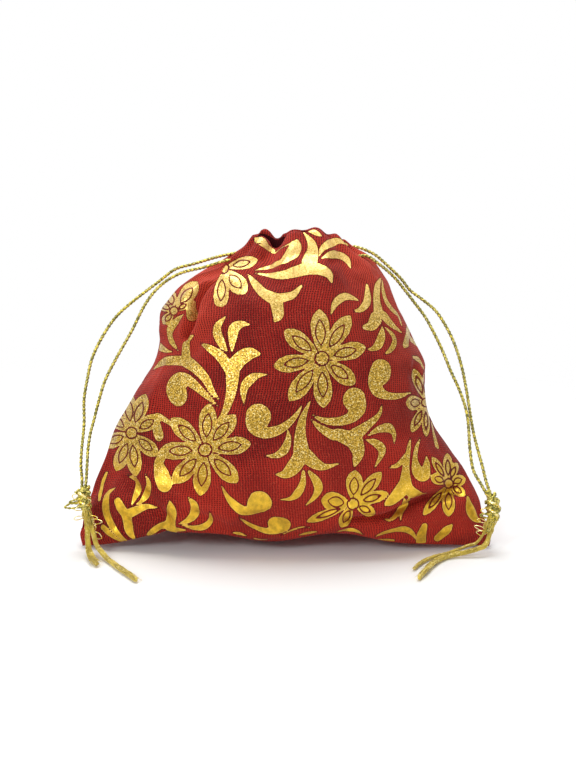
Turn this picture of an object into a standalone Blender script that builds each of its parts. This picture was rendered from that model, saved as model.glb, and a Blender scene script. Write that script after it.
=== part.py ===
"""A potli: a small drawstring pouch of foil-printed cloth, filled and drawn shut.

The pouch stands on its flattened base with its bottom seam turned to the front. Its mouth
is a hem with a channel in it. Two drawcords run all the way round in that channel, one
comes out at the left and one at the right, and the two ends of each are tied in a knot
that hangs beside a bottom corner. X is the width, -Y the front and Z is up, in metres.
"""

import math

import bmesh
import bpy
import numpy as np
from mathutils import Vector
from mathutils.geometry import delaunay_2d_cdt

# Driving sizes of the pouch
BAG_WIDTH = 0.175
BAG_DEPTH = 0.090
BAG_HEIGHT = 0.133
MOUTH_PIT_DEPTH = 0.015
CREASE_WIDTH = 0.0035

# Drawcords, and the room that they have in the hem
CORD_DIAMETER = 0.0015
CORD_CLEARANCE = 0.0004
CORD_PITCH = CORD_DIAMETER + 0.0007

# The cords' ends below the knots, and the gap that two touching pieces keep
TAIL_DIAMETER = 0.0022
THIN_TAIL_DIAMETER = 0.0013
TOUCH_GAP = 0.0003
FLOOR_GAP = 0.0001
LEAD_LENGTH = 0.0018

# Knots: the tied lump and the frayed neck under it
KNOT_DIAMETER = 0.0068
NECK_DIAMETER = 0.0048
KNOT_RELIEF = 0.2
KNOT_STEP = KNOT_DIAMETER / 7
# Down the knot: the share of its length, then its half width in lump and in neck radii
KNOT_SHAPE = (
    (0, 0.6, 0), (0.08, 0.9, 0), (0.24, 1, 0), (0.4, 0.9, 0), (0.52, 0, 1), (0.85, 0, 1), (1, 0, 0.9),
)
KNOT_TIED = ((0, 0.2), (0.1, 1), (0.4, 1), (0.55, 0.3), (1, 0))  # share, how strong the turns show

# Foil print: flowers at the corners of equal triangles, with leaves between them
FLOWER_RADIUS = 0.0195
PETALS = 8
PETAL_SHAPE = ((-0.5, 0.40), (-0.29, 0.74), (0, 1), (0.29, 0.74))  # turn in petals, reach in radii
PRINT_REPEAT = 0.064
PRINT_HEADINGS = (math.radians(-18), math.radians(-78))
FIRST_FLOWER = (8, 62)  # in hundredths of the pouch's width and height, on both panels
LEAF_STEPS = 5
LEAF_BLUNTNESS = 0.06
LEAF_FULLNESS = 0.8
# The leaves of one repeat, in hundredths of it, from the flower's middle with the cloth
# upright: where each begins, its length and width, and the degrees it heads and curls by
LEAVES = (
    # root x, root y, length, width, heading, curl
    (-6, -33, 42, 13, -98, 0),
    (-11, -71, 24, 9, -165, 45),
    (-9, -71, 28, 9, -20, 50),
    (-6, -45, 36, 12, -17, 0),
    (30, -54, 26, 9, 25, 75),
    (28, -56, 24, 9, -70, -60),
    (-42, -46, 32, 16, -10, 60),
    (22, -31, 30, 15, -130, -60),
)

# Fineness of the cloth's mesh
COLUMNS = 64
RINGS_PER_SECTION = 4
CORD_SIDES_LEVEL = 2
KNOT_SIDES = 16
CHANNEL_SIDES = 10
CURVE_STEPS = 16

# Laying the print: the fineness of a panel's places, how far the print stays from seam and
# rim in sections, and how near to a printed outline the cloth's own mesh may come, in cells
PANEL_COLUMNS = 97
PANEL_ROWS = 24
PRINT_MARGIN = 0.3
PRINT_CLEARANCE = 0.35

# The cloth is a loft. A place on the pouch is given in hundredths of its width, depth and
# height, with x and y from the middle and z from the floor. Each section is a closed line
# round the pouch: its left and right edge, the two edges' y and z, its front and its back
# middle, and how pointed its edges are, where 1 is an ellipse.
SECTIONS = (
    # left, right, edge y, edge z, front y, front z, back y, back z, pointed
    (-49.3, 49.3, -31.1, 0.5, -38.9, 3.4, -38.9, 3.4, 1.6),  # bottom seam
    (-49.7, 49.7, -28.9, 5.6, -44.2, 9.0, -17.8, 2.6, 1.5),
    (-48.4, 47.4, -24.4, 12.0, -48.0, 18.0, 12.2, -0.8, 1.4),
    (-44.7, 43.4, -15.6, 22.6, -50.0, 29.3, 32.2, -0.2, 1.3),
    (-40.7, 37.1, -6.7, 37.6, -50.0, 42.9, 47.2, 19.5, 1.15),
    (-33.9, 34.3, 0.0, 56.4, -45.6, 59.4, 50.0, 42.9, 1.05),
    (-30.1, 27.5, 2.2, 74.4, -36.7, 75.9, 41.1, 68.4, 1.0),
    (-23.8, 24.2, 2.2, 83.1, -27.8, 85.0, 28.9, 82.0, 1.0),
    (-15.2, 20.4, 1.7, 89.1, -18.3, 90.2, 16.7, 90.2, 1.0),
    (-9.1, 14.8, 0.0, 93.6, -10.2, 93.6, 7.2, 93.6, 1.0),  # rim of the mouth
    (-7.6, 13.1, -0.6, 92.8, -7.6, 92.8, 4.6, 92.8, 1.0),  # inside of the lip
    (-5.5, 10.8, -0.3, 88.4, -3.7, 88.0, 2.9, 89.2, 1.0),
)
RIM = 9
PIT_FLOOR = (-4.7, 9.1, -0.3, -3.1, 2.6)  # left, right, edge y, front y, back y

# The bottom seam arches off the floor between the corners: middle, half width, height
SEAM_ARCHES = ((-23.5, 11.4, 6.8), (11.9, 9.7, 3.8))
# The gathered rim stands up in two lobes with a dip in front between them
RIM_LOBES = ((-5.8, 2.9, 5.6), (7.4, 6.3, 6.0))
RIM_DIP = (-0.6, 2.2, 5.3)
HEM_PLEATS = 11
PLEAT_DEPTH = 0.0010

# Creases and ridges: the line that each follows, and how deep it is in metres
FOLDS = {
    "left_shoulder_crease": (
        [(-12.9, -10.0, 89.6), (-17.1, -22.2, 83.9), (-20.5, -31.1, 78.0), (-22.0, -35.6, 72.3)],
        0.0045,
    ),
    "left_ridge": ([(-30.8, -22.2, 64.5), (-31.6, -27.8, 54.1), (-32.4, -30.0, 43.3)], -0.0025),
    "right_ridge": ([(26.7, -31.1, 70.0), (27.2, -36.7, 57.1), (27.6, -40.0, 48.0)], -0.0015),
    "right_pinch": ([(32.5, -16.7, 63.8), (33.4, -16.7, 52.6)], 0.0022),
    "right_corner_crease": (
        [
            (18.8, -43.3, 12.4), (25.7, -42.2, 14.1), (29.7, -42.2, 17.3), (34.0, -40.0, 18.8),
            (40.2, -35.6, 20.8),
        ],
        0.0055,
    ),
    "left_corner_crease": ([(-28.7, -42.2, 12.0), (-28.9, -40.0, 8.0)], 0.0012),
}

# Cord routes, chosen by hand, from the hem down to the knots
LEFT_OUTER = [
    (-10.4, 4.7, 92.0), (-16.4, 3.3, 90.5), (-22.5, 2.7, 88.2), (-27.1, 1.3, 86.5),
    (-31.2, -0.6, 82.6), (-37.7, -5.6, 76.2), (-41.4, -8.9, 71.7), (-44.4, -12.2, 65.9),
    (-46.7, -15.6, 59.5), (-47.8, -18.9, 52.9), (-48.4, -22.2, 47.1), (-48.3, -25.1, 40.8),
    (-48.4, -27.8, 36.6), (-48.7, -30.0, 32.1), (-48.8, -32.2, 27.2), (-48.5, -33.9, 23.2),
]
LEFT_INNER = [
    (-9.5, -5.1, 89.4), (-14.0, -3.3, 89.7), (-19.6, -3.8, 87.6), (-25.6, -4.0, 85.6),
    (-30.4, -4.9, 81.8), (-34.0, -7.2, 76.2), (-37.3, -11.1, 67.8), (-40.8, -15.6, 59.7),
    (-43.4, -18.9, 53.0), (-44.7, -22.2, 47.4), (-45.9, -25.3, 41.1), (-46.7, -28.0, 36.8),
    (-47.1, -30.7, 32.5), (-47.2, -32.9, 28.6), (-47.3, -34.7, 24.9), (-47.4, -35.8, 22.7),
]
RIGHT_OUTER = [
    (13.6, 6.4, 91.3), (15.6, 5.3, 92.8), (17.2, 4.4, 93.5), (21.4, 3.8, 91.4),
    (24.8, 2.7, 87.8), (28.3, 1.1, 83.4), (30.4, 0.0, 79.9), (33.6, -2.2, 76.8),
    (36.8, -4.4, 73.2), (39.6, -7.8, 67.4), (41.4, -11.1, 61.9), (42.7, -14.4, 55.9),
    (43.5, -16.7, 50.6), (44.0, -20.0, 45.9), (44.5, -22.7, 41.1), (45.1, -25.1, 36.5),
    (45.9, -27.8, 32.0), (46.9, -30.7, 27.1), (48.0, -32.7, 21.5),
]
RIGHT_INNER = [
    (15.1, -5.1, 89.9), (19.2, -3.3, 91.2), (22.8, -4.0, 88.3), (26.2, -4.7, 84.5),
    (28.9, -5.6, 80.3), (31.1, -7.1, 76.6), (33.7, -9.6, 72.1), (35.9, -12.2, 66.9),
    (37.9, -14.9, 61.4), (39.7, -17.8, 55.6), (41.4, -20.0, 50.8), (42.8, -22.4, 45.9),
    (43.5, -25.1, 41.6), (43.7, -27.8, 37.4), (43.9, -30.0, 32.3), (44.7, -32.2, 25.9),
    (46.7, -34.0, 21.2),
]
# The channel's own ring in the hem: the two cords lie in it one above the other
CHANNEL_BACK = [(-6.4, 6.0, 90.5), (-1.2, 6.4, 90.8), (5.1, 6.4, 91.0), (10.2, 6.0, 91.1)]
CHANNEL_RIGHT = [(13.4, 3.8, 91.4), (14.8, 0.0, 91.3), (13.6, -4.0, 90.5)]
CHANNEL_FRONT = [(10.2, -6.2, 89.0), (5.1, -6.9, 86.9), (-1.2, -7.1, 86.0), (-5.8, -6.4, 87.1)]
CHANNEL_LEFT = [(-8.6, -4.2, 88.4), (-10.0, 0.0, 89.6), (-8.9, 4.0, 90.4)]

EXIT_POINTS = 3  # of each strand: those in the hem, and one just outside it

LEFT_KNOT = [
    (-47.9, -35.9, 21.4), (-48.1, -36.6, 18.5), (-47.8, -37.1, 15.5), (-47.1, -37.8, 11.6),
    (-46.4, -38.7, 7.4),
]
RIGHT_KNOT = [
    (48.0, -34.4, 19.8), (49.1, -35.6, 16.2), (49.4, -36.7, 13.1), (48.9, -37.8, 9.8),
    (48.1, -38.8, 6.9),
]
LEFT_TAIL_SHORT = [
    (-46.9, -41.8, 3.8), (-46.4, -45.1, 2.0), (-45.5, -49.3, 1.0), (-44.4, -53.3, 0.9),
    (-43.4, -57.1, 0.9),
]
LEFT_TAIL_LONG = [
    (-45.1, -41.6, 3.9), (-43.7, -44.8, 2.1), (-41.9, -49.6, 1.0), (-40.1, -54.9, 0.9),
    (-37.8, -61.8, 0.9), (-35.3, -68.7, 0.9), (-33.0, -75.3, 0.9),
]
RIGHT_TAIL_LONG = [
    (47.6, -41.8, 3.9), (45.6, -43.6, 2.7), (43.0, -44.2, 1.8), (40.1, -44.9, 1.1),
    (37.6, -47.1, 0.9), (35.3, -51.8, 0.9), (33.1, -58.6, 0.9), (31.1, -66.4, 0.9),
    (29.6, -73.1, 0.9),
]
RIGHT_TAIL_SHORT = [
    (45.6, -40.4, 4.2), (43.1, -40.9, 2.9), (40.3, -41.3, 1.5), (37.5, -42.9, 0.6),
    (34.8, -46.2, 0.6), (31.7, -52.9, 0.6), (29.2, -61.4, 0.6),
]


def on_bag(places):
    """Places in metres, from hundredths of the pouch's width, depth and height."""
    return np.array(places, float) * (BAG_WIDTH, BAG_DEPTH, BAG_HEIGHT) / 100


def smooth_line(points, step):
    """Points a step apart on the smooth curve through the given ones."""
    given = np.array(points, float)
    given = np.vstack([2 * given[0] - given[1], given, 2 * given[-1] - given[-2]])
    fine = []
    for i in range(1, len(given) - 2):
        a, b, c, d = given[i - 1 : i + 3]
        for t in np.linspace(0, 1, CURVE_STEPS, endpoint=False):
            bend = 2 * a - 5 * b + 4 * c - d + t * (3 * (b - c) + d - a)
            fine.append(b + 0.5 * t * (c - a + t * bend))
    fine = np.array(fine + [given[-2]])
    along = np.concatenate([[0], np.cumsum(np.linalg.norm(np.diff(fine, axis=0), axis=1))])
    places = np.linspace(0, along[-1], max(2, round(along[-1] / step)) + 1)
    return np.stack([np.interp(places, along, fine[:, k]) for k in range(3)], axis=1)


def bump(x, middle, half_width):
    return np.exp(-(((x - middle) / half_width) ** 2))


# Cloth


def sections():
    """The sections with the pit's floor as the last one."""
    left, right, edge_y, front_y, back_y = PIT_FLOOR
    floor = SECTIONS[RIM][3] - 100 * MOUTH_PIT_DEPTH / BAG_HEIGHT
    return np.array([*SECTIONS, (left, right, edge_y, floor, front_y, floor, back_y, floor, 1.0)])


def drawn_cloth(u, v):
    """The cloth before its folds: u runs once round from the left edge, v counts sections."""
    rows = sections()
    last = len(rows) - 1
    low = np.clip(np.floor(v).astype(int), 0, last - 1)
    t = (v - low)[:, None]
    a, b, c, d = (rows[np.clip(low + k, 0, last)] for k in (-1, 0, 1, 2))
    row = b + 0.5 * t * (c - a + t * (2 * a - 5 * b + 4 * c - d + t * (3 * (b - c) + d - a)))
    left, right, edge_y, edge_z, front_y, front_z, back_y, back_z, pointed = row.T
    angle = 2 * math.pi * u - math.pi / 2
    across, ahead = np.sin(angle), np.cos(angle)
    reach = np.abs(ahead) ** pointed
    is_front = ahead > 0
    x = (left + right) / 2 + (right - left) / 2 * across
    y = edge_y + (np.where(is_front, front_y, back_y) - edge_y) * reach
    z = edge_z + (np.where(is_front, front_z, back_z) - edge_z) * reach
    near_seam = np.where(is_front, np.clip(1 - v / 1.2, 0, 1) ** 2, np.clip(1 - v / 2.4, 0, 1))
    for middle, half_width, height in SEAM_ARCHES:
        z = z + near_seam * height * bump(x, middle, half_width)
    near_rim = np.interp(v - RIM, [-2.5, -1, 0, 1, 2, 3], [0, 0.5, 1, 1, 0.2, 0])
    for middle, half_width, height in RIM_LOBES:
        z = z + near_rim * height * bump(x, middle, half_width)
    z = z - near_rim * RIM_DIP[2] * bump(x, *RIM_DIP[:2]) * np.clip(ahead, 0, 1)
    return on_bag(np.stack([x, y, z], axis=1))


def distance_to(points, line):
    best = np.full(len(points), np.inf)
    for start, end in zip(line[:-1], line[1:]):
        run = end - start
        t = np.clip((points - start) @ run / (run @ run), 0, 1)
        best = np.minimum(best, np.linalg.norm(points - start - t[:, None] * run, axis=1))
    return best


def cloth(u, v):
    """The cloth's surface with its creases, ridges and hem pleats, flat where it stands."""
    u, v = np.asarray(u, float), np.asarray(v, float)
    points = drawn_cloth(u, v)
    step = 1e-3
    last = len(sections()) - 1
    round_it = drawn_cloth(u + step, v) - drawn_cloth(u - step, v)
    up_it = drawn_cloth(u, np.minimum(v + step, last)) - drawn_cloth(u, np.maximum(v - step, 0))
    out = np.cross(round_it, up_it)
    out /= np.maximum(np.linalg.norm(out, axis=1), 1e-12)[:, None]
    depth = np.zeros(len(u))
    for route, deep in FOLDS.values():
        depth += deep * np.exp(-((distance_to(points, on_bag(route)) / CREASE_WIDTH) ** 2))
    pleated = np.interp(v - RIM, [-4, -1, 1, 2], [0, 1, 1, 0])
    depth += PLEAT_DEPTH * pleated * np.cos(2 * math.pi * HEM_PLEATS * u)
    depth *= np.clip(v / 0.6, 0, 1) * np.clip(last - v, 0, 1)
    points = points - depth[:, None] * out
    points[:, 2] = np.maximum(points[:, 2], 0)
    return points


# Foil print, as outlines on the cloth


def flower_outline():
    """Pointed petals round a middle, as places in metres from it."""
    outline = []
    for petal in range(PETALS):
        middle = 2 * math.pi * petal / PETALS
        for turn, share in PETAL_SHAPE:
            angle = middle + turn * 2 * math.pi / PETALS
            reach = share * FLOWER_RADIUS
            outline.append((reach * math.cos(angle), reach * math.sin(angle)))
    return outline


def leaf_outline(root_x, root_y, length, width, heading, curl):
    """A curved leaf, thin at both ends, from its root along a heading that turns by curl."""
    left_side, right_side = [], []
    place = PRINT_REPEAT / 100 * np.array([root_x, root_y], float)
    angle = math.radians(heading)
    stride = length / 100 * PRINT_REPEAT / LEAF_STEPS
    for i in range(LEAF_STEPS + 1):
        share = LEAF_BLUNTNESS + (1 - 2 * LEAF_BLUNTNESS) * i / LEAF_STEPS
        half = width / 200 * PRINT_REPEAT * math.sin(math.pi * share) ** LEAF_FULLNESS
        ahead = np.array([math.cos(angle), math.sin(angle)])
        side = np.array([-ahead[1], ahead[0]])
        left_side.append(tuple(place + half * side))
        right_side.append(tuple(place - half * side))
        place = place + stride * ahead
        angle += math.radians(curl) / LEAF_STEPS
    return right_side + left_side[::-1]


def print_outlines():
    """Every printed outline in the cloth's own (u, v)."""
    found = []
    panels = {"front": (0.0, 0.5), "back": (0.5, 1.0)}
    rows = np.linspace(PRINT_MARGIN, RIM - PRINT_MARGIN, RIM * PANEL_ROWS + 1)
    for panel, (from_u, to_u) in panels.items():
        us, vs = np.meshgrid(np.linspace(from_u, to_u, PANEL_COLUMNS), rows)
        spots = cloth(us.ravel(), vs.ravel()).reshape(*us.shape, 3)
        rise = np.linalg.norm(np.diff(spots, axis=0), axis=2)
        height = np.vstack([np.zeros((1, us.shape[1])), np.cumsum(rise, axis=0)])
        sign = 1 if panel == "front" else -1
        flat = np.stack([sign * spots[:, :, 0], height], axis=2)
        found += panel_outlines(flat, us, vs)
    return found


def panel_outlines(flat, us, vs):
    """The repeats that fall on one panel, laid on the cloth through its flat places."""
    along, down = ((math.cos(heading), math.sin(heading)) for heading in PRINT_HEADINGS)
    first = np.array([FIRST_FLOWER[0] * BAG_WIDTH, FIRST_FLOWER[1] * BAG_HEIGHT]) / 100
    outlines = []
    reach = math.ceil(BAG_WIDTH / PRINT_REPEAT)
    for i in range(-reach, reach + 1):
        for j in range(-reach, reach + 1):
            middle = first + PRINT_REPEAT * (i * np.array(along) + j * np.array(down))
            for outline in [flower_outline()] + [leaf_outline(*leaf) for leaf in LEAVES]:
                on_cloth = [nearest_place(flat, us, vs, middle + place) for place in outline]
                if all(place is not None for place in on_cloth):
                    outlines.append(on_cloth)
    return outlines


def nearest_place(flat, us, vs, place):
    """(u, v) of a panel's flat place, or None where it is off the panel."""
    away = np.linalg.norm(flat - place, axis=2)
    row, column = np.unravel_index(away.argmin(), away.shape)
    if not (0 < row < us.shape[0] - 1 and 0 < column < us.shape[1] - 1):
        return None
    across = (flat[row, column + 1] - flat[row, column - 1]) / 2
    up = (flat[row + 1, column] - flat[row - 1, column]) / 2
    part = np.linalg.solve(np.stack([across, up], axis=1), place - flat[row, column])
    if np.abs(part).max() > 1:
        return None
    step_u, step_v = us[0, 1] - us[0, 0], vs[1, 0] - vs[0, 0]
    return us[row, column] + part[0] * step_u, vs[row, column] + part[1] * step_v


# Meshes


def plain_material(name, colour, roughness, metallic):
    material = bpy.data.materials.new(name)
    material.use_nodes = True
    shader = material.node_tree.nodes["Principled BSDF"]
    shader.inputs["Base Color"].default_value = (*colour, 1)
    shader.inputs["Roughness"].default_value = roughness
    shader.inputs["Metallic"].default_value = metallic
    material.diffuse_color = (*colour, 1)
    return material


def finished_mesh(name, bm, materials):
    bmesh.ops.recalc_face_normals(bm, faces=bm.faces)
    mesh = bpy.data.meshes.new(name)
    bm.to_mesh(mesh)
    bm.free()
    for material in materials:
        mesh.materials.append(material)
    mesh.shade_smooth()
    piece = bpy.data.objects.new(name, mesh)
    bpy.context.scene.collection.objects.link(piece)
    return piece


def make_bag_body(cloth_red, foil_gold):
    """The filled pouch as one closed solid, with the print's fields in their own material."""
    top = (len(sections()) - 1) * RINGS_PER_SECTION
    scale = np.array([COLUMNS, RINGS_PER_SECTION])
    outlines = [np.array(outline) * scale for outline in print_outlines()]
    printed = np.vstack(outlines)
    grid = np.array([(x, y) for y in range(top + 1) for x in range(COLUMNS + 1)], float)
    on_edge = (grid[:, 0] % COLUMNS == 0) | (grid[:, 1] % top == 0)
    clear = np.array([np.abs(printed - place).max(axis=1).min() > PRINT_CLEARANCE for place in grid])
    grid = grid[on_edge | clear]
    fields, used = [], len(grid)
    for outline in outlines:
        fields.append(list(range(used, used + len(outline))))
        used += len(outline)
    places = [Vector(place) for place in np.vstack([grid, printed])]
    flat, _, triangles, _, _, from_fields = delaunay_2d_cdt(places, [], fields, 0, 1e-4)
    flat = np.array([tuple(place) for place in flat])
    bm = bmesh.new()
    corners = [bm.verts.new(point) for point in cloth(*(flat / scale).T)]
    for triangle, source in zip(triangles, from_fields):
        face = bm.faces.new([corners[i] for i in triangle])
        face.material_index = 1 if source else 0
    floor_ring = [corners[i] for i in np.flatnonzero(flat[:, 1] > top - 1e-3)]
    middle = bm.verts.new(sum((corner.co for corner in floor_ring), Vector()) / len(floor_ring))
    bmesh.ops.remove_doubles(bm, verts=bm.verts, dist=1e-6)
    for edge in [edge for edge in bm.edges if edge.is_boundary]:
        bm.faces.new([*edge.verts, middle])
    return finished_mesh("bag_body", bm, [cloth_red, foil_gold])


def make_cord(name, points, diameter, material):
    """A round cord along a line of points, with closed ends."""
    curve = bpy.data.curves.new(name, "CURVE")
    curve.dimensions = "3D"
    curve.bevel_depth = diameter / 2
    curve.bevel_resolution = CORD_SIDES_LEVEL
    curve.use_fill_caps = True
    spline = curve.splines.new("POLY")
    spline.points.add(len(points) - 1)
    for point, place in zip(spline.points, points):
        point.co = (*place, 1)
    curve.materials.append(material)
    cord = bpy.data.objects.new(name, curve)
    bpy.context.scene.collection.objects.link(cord)
    return cord


def sweep(name, line, radii, materials):
    """A closed round body along a line; radii has a ring of sizes for each of its points."""
    sides = radii.shape[1]
    bm = bmesh.new()
    rings = []
    for i, place in enumerate(line):
        heading = Vector(line[min(i + 1, len(line) - 1)] - line[max(i - 1, 0)]).normalized()
        front = heading.orthogonal() if i == 0 else front - heading * front.dot(heading)
        front.normalize()
        side = front.cross(heading)
        ring = []
        for k, radius in enumerate(radii[i]):
            angle = 2 * math.pi * k / sides
            spoke = math.cos(angle) * side + math.sin(angle) * front
            ring.append(bm.verts.new(Vector(place) + float(radius) * spoke))
        rings.append(ring)
    for low, high in zip(rings[:-1], rings[1:]):
        for k in range(sides):
            after = (k + 1) % sides
            bm.faces.new([low[k], low[after], high[after], high[k]])
    bm.faces.new(rings[0])
    bm.faces.new(rings[-1])
    return finished_mesh(name, bm, materials)


def make_knot(name, path, material):
    """A tied lump with the cord's turns showing, on a frayed neck that hangs from it."""
    line = smooth_line(on_bag(path), KNOT_STEP)
    along = np.linspace(0, 1, len(line))[:, None]
    places, lump, neck = np.array(KNOT_SHAPE, float).T
    radii = np.interp(along, places, (lump * KNOT_DIAMETER + neck * NECK_DIAMETER) / 2)
    tied = np.interp(along, *np.array(KNOT_TIED, float).T)
    angles = 2 * math.pi * np.arange(KNOT_SIDES) / KNOT_SIDES
    turns = np.cos(2 * angles + 14 * along) * np.cos(angles - 9 * along)
    return sweep(name, line, radii * (1 + KNOT_RELIEF * tied * turns), [material])


# Cords


def knot_ends(path):
    """The knot's top and bottom, each with the direction that leads out of the knot."""
    line = smooth_line(on_bag(path), KNOT_STEP)
    up, down = line[0] - line[1], line[-1] - line[-2]
    return (line[0], up / np.linalg.norm(up)), (line[-1], down / np.linalg.norm(down))


def two_leads(place, heading, spread):
    """Two short straight leads out of a knot, side by side: the outer one, then the inner."""
    across = np.cross(heading, (0, 1, 0))
    across *= spread / 2 / np.linalg.norm(across)
    lead = place + np.outer([TOUCH_GAP, TOUCH_GAP + LEAD_LENGTH], heading)
    return sorted([lead - across, lead + across], key=lambda spots: -abs(spots[0, 0]))


def drawcord_line(outer, inner, channel, lift, knot):
    """A drawcord's own line: knot, strand, once round in the hem, strand, knot."""
    top, _ = knot_ends(knot)
    outer_lead, inner_lead = two_leads(*top, CORD_PITCH)
    ring = on_bag(channel) + (0, 0, lift)
    route = np.vstack([outer_lead, on_bag(outer[::-1]), ring, on_bag(inner), inner_lead[::-1]])
    return smooth_line(route, 3 * CORD_DIAMETER)


def cut_channel(bag, name, line, outer, inner):
    """Cuts the cord's own way through the hem, with clearance all round it."""
    exits = (on_bag(strand[EXIT_POINTS]) for strand in (outer, inner))
    first, last = (int(np.linalg.norm(line - place, axis=1).argmin()) for place in exits)
    in_hem = line[first : last + 1]
    radii = np.full((len(in_hem), CHANNEL_SIDES), CORD_DIAMETER / 2 + CORD_CLEARANCE)
    cutter = sweep(name, in_hem, radii, [])
    cutter.hide_render = True
    cutter.display_type = "WIRE"
    cut = bag.modifiers.new(name, "BOOLEAN")
    cut.object = cutter
    cut.operation = "DIFFERENCE"
    cut.solver = "EXACT"


def tail_line(route, lead, diameter):
    """A tail from its lead under the knot down to the floor, where it lies."""
    points = smooth_line(np.vstack([lead, on_bag(route)]), LEAD_LENGTH)
    points[:, 2] = np.maximum(points[:, 2], diameter / 2 + FLOOR_GAP)
    return points


def main():
    for leftover in list(bpy.data.objects):
        bpy.data.objects.remove(leftover)
    cloth_red = plain_material("cloth_red", (0.30, 0.012, 0.018), 0.75, 0.0)
    foil_gold = plain_material("foil_gold", (0.62, 0.44, 0.07), 0.35, 0.7)
    zari_gold = plain_material("zari_gold", (0.58, 0.47, 0.07), 0.4, 0.6)
    core_gold = plain_material("core_gold", (0.66, 0.45, 0.04), 0.7, 0.0)

    bag = make_bag_body(cloth_red, foil_gold)
    back_to_front = CHANNEL_BACK + CHANNEL_RIGHT + CHANNEL_FRONT
    front_to_back = CHANNEL_FRONT + CHANNEL_LEFT + CHANNEL_BACK
    sides = {
        "left": (LEFT_OUTER, LEFT_INNER, back_to_front, CORD_PITCH / 2, LEFT_KNOT),
        "right": (RIGHT_OUTER, RIGHT_INNER, front_to_back[::-1], -CORD_PITCH / 2, RIGHT_KNOT),
    }
    thick, thin = TAIL_DIAMETER, THIN_TAIL_DIAMETER
    tails = {
        "left": (("short", LEFT_TAIL_SHORT, thick), ("long", LEFT_TAIL_LONG, thick)),
        "right": (("long", RIGHT_TAIL_LONG, thick), ("short", RIGHT_TAIL_SHORT, thin)),
    }
    for side, (outer, inner, channel, lift, knot) in sides.items():
        line = drawcord_line(outer, inner, channel, lift, knot)
        make_cord(side + "_drawcord", line, CORD_DIAMETER, zari_gold)
        cut_channel(bag, side + "_channel_cutter", line, outer, inner)
        make_knot(side + "_knot", knot, zari_gold)
        _, bottom = knot_ends(knot)
        leads = two_leads(*bottom, TAIL_DIAMETER + TOUCH_GAP)
        for (length, route, diameter), lead in zip(tails[side], leads):
            make_cord(f"{side}_tail_{length}", tail_line(route, lead, diameter), diameter, core_gold)


main()
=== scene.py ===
# %% [markdown]
# A potli is a small drawstring pouch. This one is sewn from two panels of red open-weave
# cloth with a gold foil print, filled with tissue, and drawn shut by two gold drawcords.
# The solid model is loaded first and never changed. Every soft piece below is laid in the
# place of its solid, so the pouch keeps its size and its seat on the floor.

# %% Load the solid pouch
import math

import bmesh
import bpy
import numpy as np
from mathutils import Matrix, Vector
from mathutils.bvhtree import BVHTree


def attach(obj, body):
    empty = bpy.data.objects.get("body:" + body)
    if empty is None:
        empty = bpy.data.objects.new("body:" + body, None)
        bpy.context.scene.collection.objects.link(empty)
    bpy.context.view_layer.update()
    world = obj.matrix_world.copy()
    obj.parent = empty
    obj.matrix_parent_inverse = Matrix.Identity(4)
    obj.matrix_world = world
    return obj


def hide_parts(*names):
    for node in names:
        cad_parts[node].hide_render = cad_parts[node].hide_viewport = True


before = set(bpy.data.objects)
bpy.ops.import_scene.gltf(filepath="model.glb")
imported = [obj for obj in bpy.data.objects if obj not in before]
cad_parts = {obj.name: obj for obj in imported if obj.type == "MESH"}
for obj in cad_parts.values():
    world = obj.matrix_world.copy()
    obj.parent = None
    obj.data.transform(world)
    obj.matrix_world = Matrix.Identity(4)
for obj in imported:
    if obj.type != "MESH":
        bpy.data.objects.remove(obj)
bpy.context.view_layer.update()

# %% [markdown]
# The camera comes first, because the cords and the print are placed by what it sees. It
# stands about half a metre away and looks slightly down. Keeping its numbers as a few
# named values lets a function turn a point on the pouch into its place in the picture.

# %% The camera
PICTURE_WIDTH, PICTURE_HEIGHT = 576, 768
FOCAL_PIXELS = 1098
CAMERA_DISTANCE = 0.480
CAMERA_ELEVATION = math.radians(12)
CAMERA_AIM = np.array([0.0009, 0.0, 0.065])
LOOKING = np.array([0.0, math.cos(CAMERA_ELEVATION), -math.sin(CAMERA_ELEVATION)])
UPWARD = np.array([0.0, math.sin(CAMERA_ELEVATION), math.cos(CAMERA_ELEVATION)])
CAMERA_PLACE = CAMERA_AIM - CAMERA_DISTANCE * LOOKING

SENSOR_SIZE = 36  # millimetres, along the picture's longer side


def in_scene(name, data):
    """A new object, linked into the scene."""
    made = bpy.data.objects.new(name, data)
    bpy.context.scene.collection.objects.link(made)
    return made


camera_data = bpy.data.cameras.new("camera")
camera_data.sensor_width = SENSOR_SIZE
camera_data.lens = SENSOR_SIZE * FOCAL_PIXELS / PICTURE_HEIGHT
camera = in_scene("camera", camera_data)
camera.location = CAMERA_PLACE
camera.rotation_euler = (math.pi / 2 - CAMERA_ELEVATION, 0, 0)
bpy.context.scene.camera = camera


def seen_at(points):
    """Where the camera sees each point, in picture pixels from the top left."""
    away = points - CAMERA_PLACE
    depth = away @ LOOKING
    across = PICTURE_WIDTH / 2 + FOCAL_PIXELS * away[:, 0] / depth
    down = PICTURE_HEIGHT / 2 - FOCAL_PIXELS * (away @ UPWARD) / depth
    return np.stack([across, down], axis=1)


print("camera lens", round(camera_data.lens, 2), "mm")

# %% [markdown]
# Places on the pouch are given as the solid gives them: in hundredths of its width, depth
# and height. Cords and knots all follow smooth lines through a few such places, so one
# helper lays evenly spaced points on the curve.

# %% Smooth lines
BAG_WIDTH, BAG_DEPTH, BAG_HEIGHT = 0.175, 0.090, 0.133
OVER_FLOOR = 0.0001  # the hair's breadth that keeps cords and fibres off the floor


def on_bag(places):
    return np.array(places, float) * (BAG_WIDTH, BAG_DEPTH, BAG_HEIGHT) / 100


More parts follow.
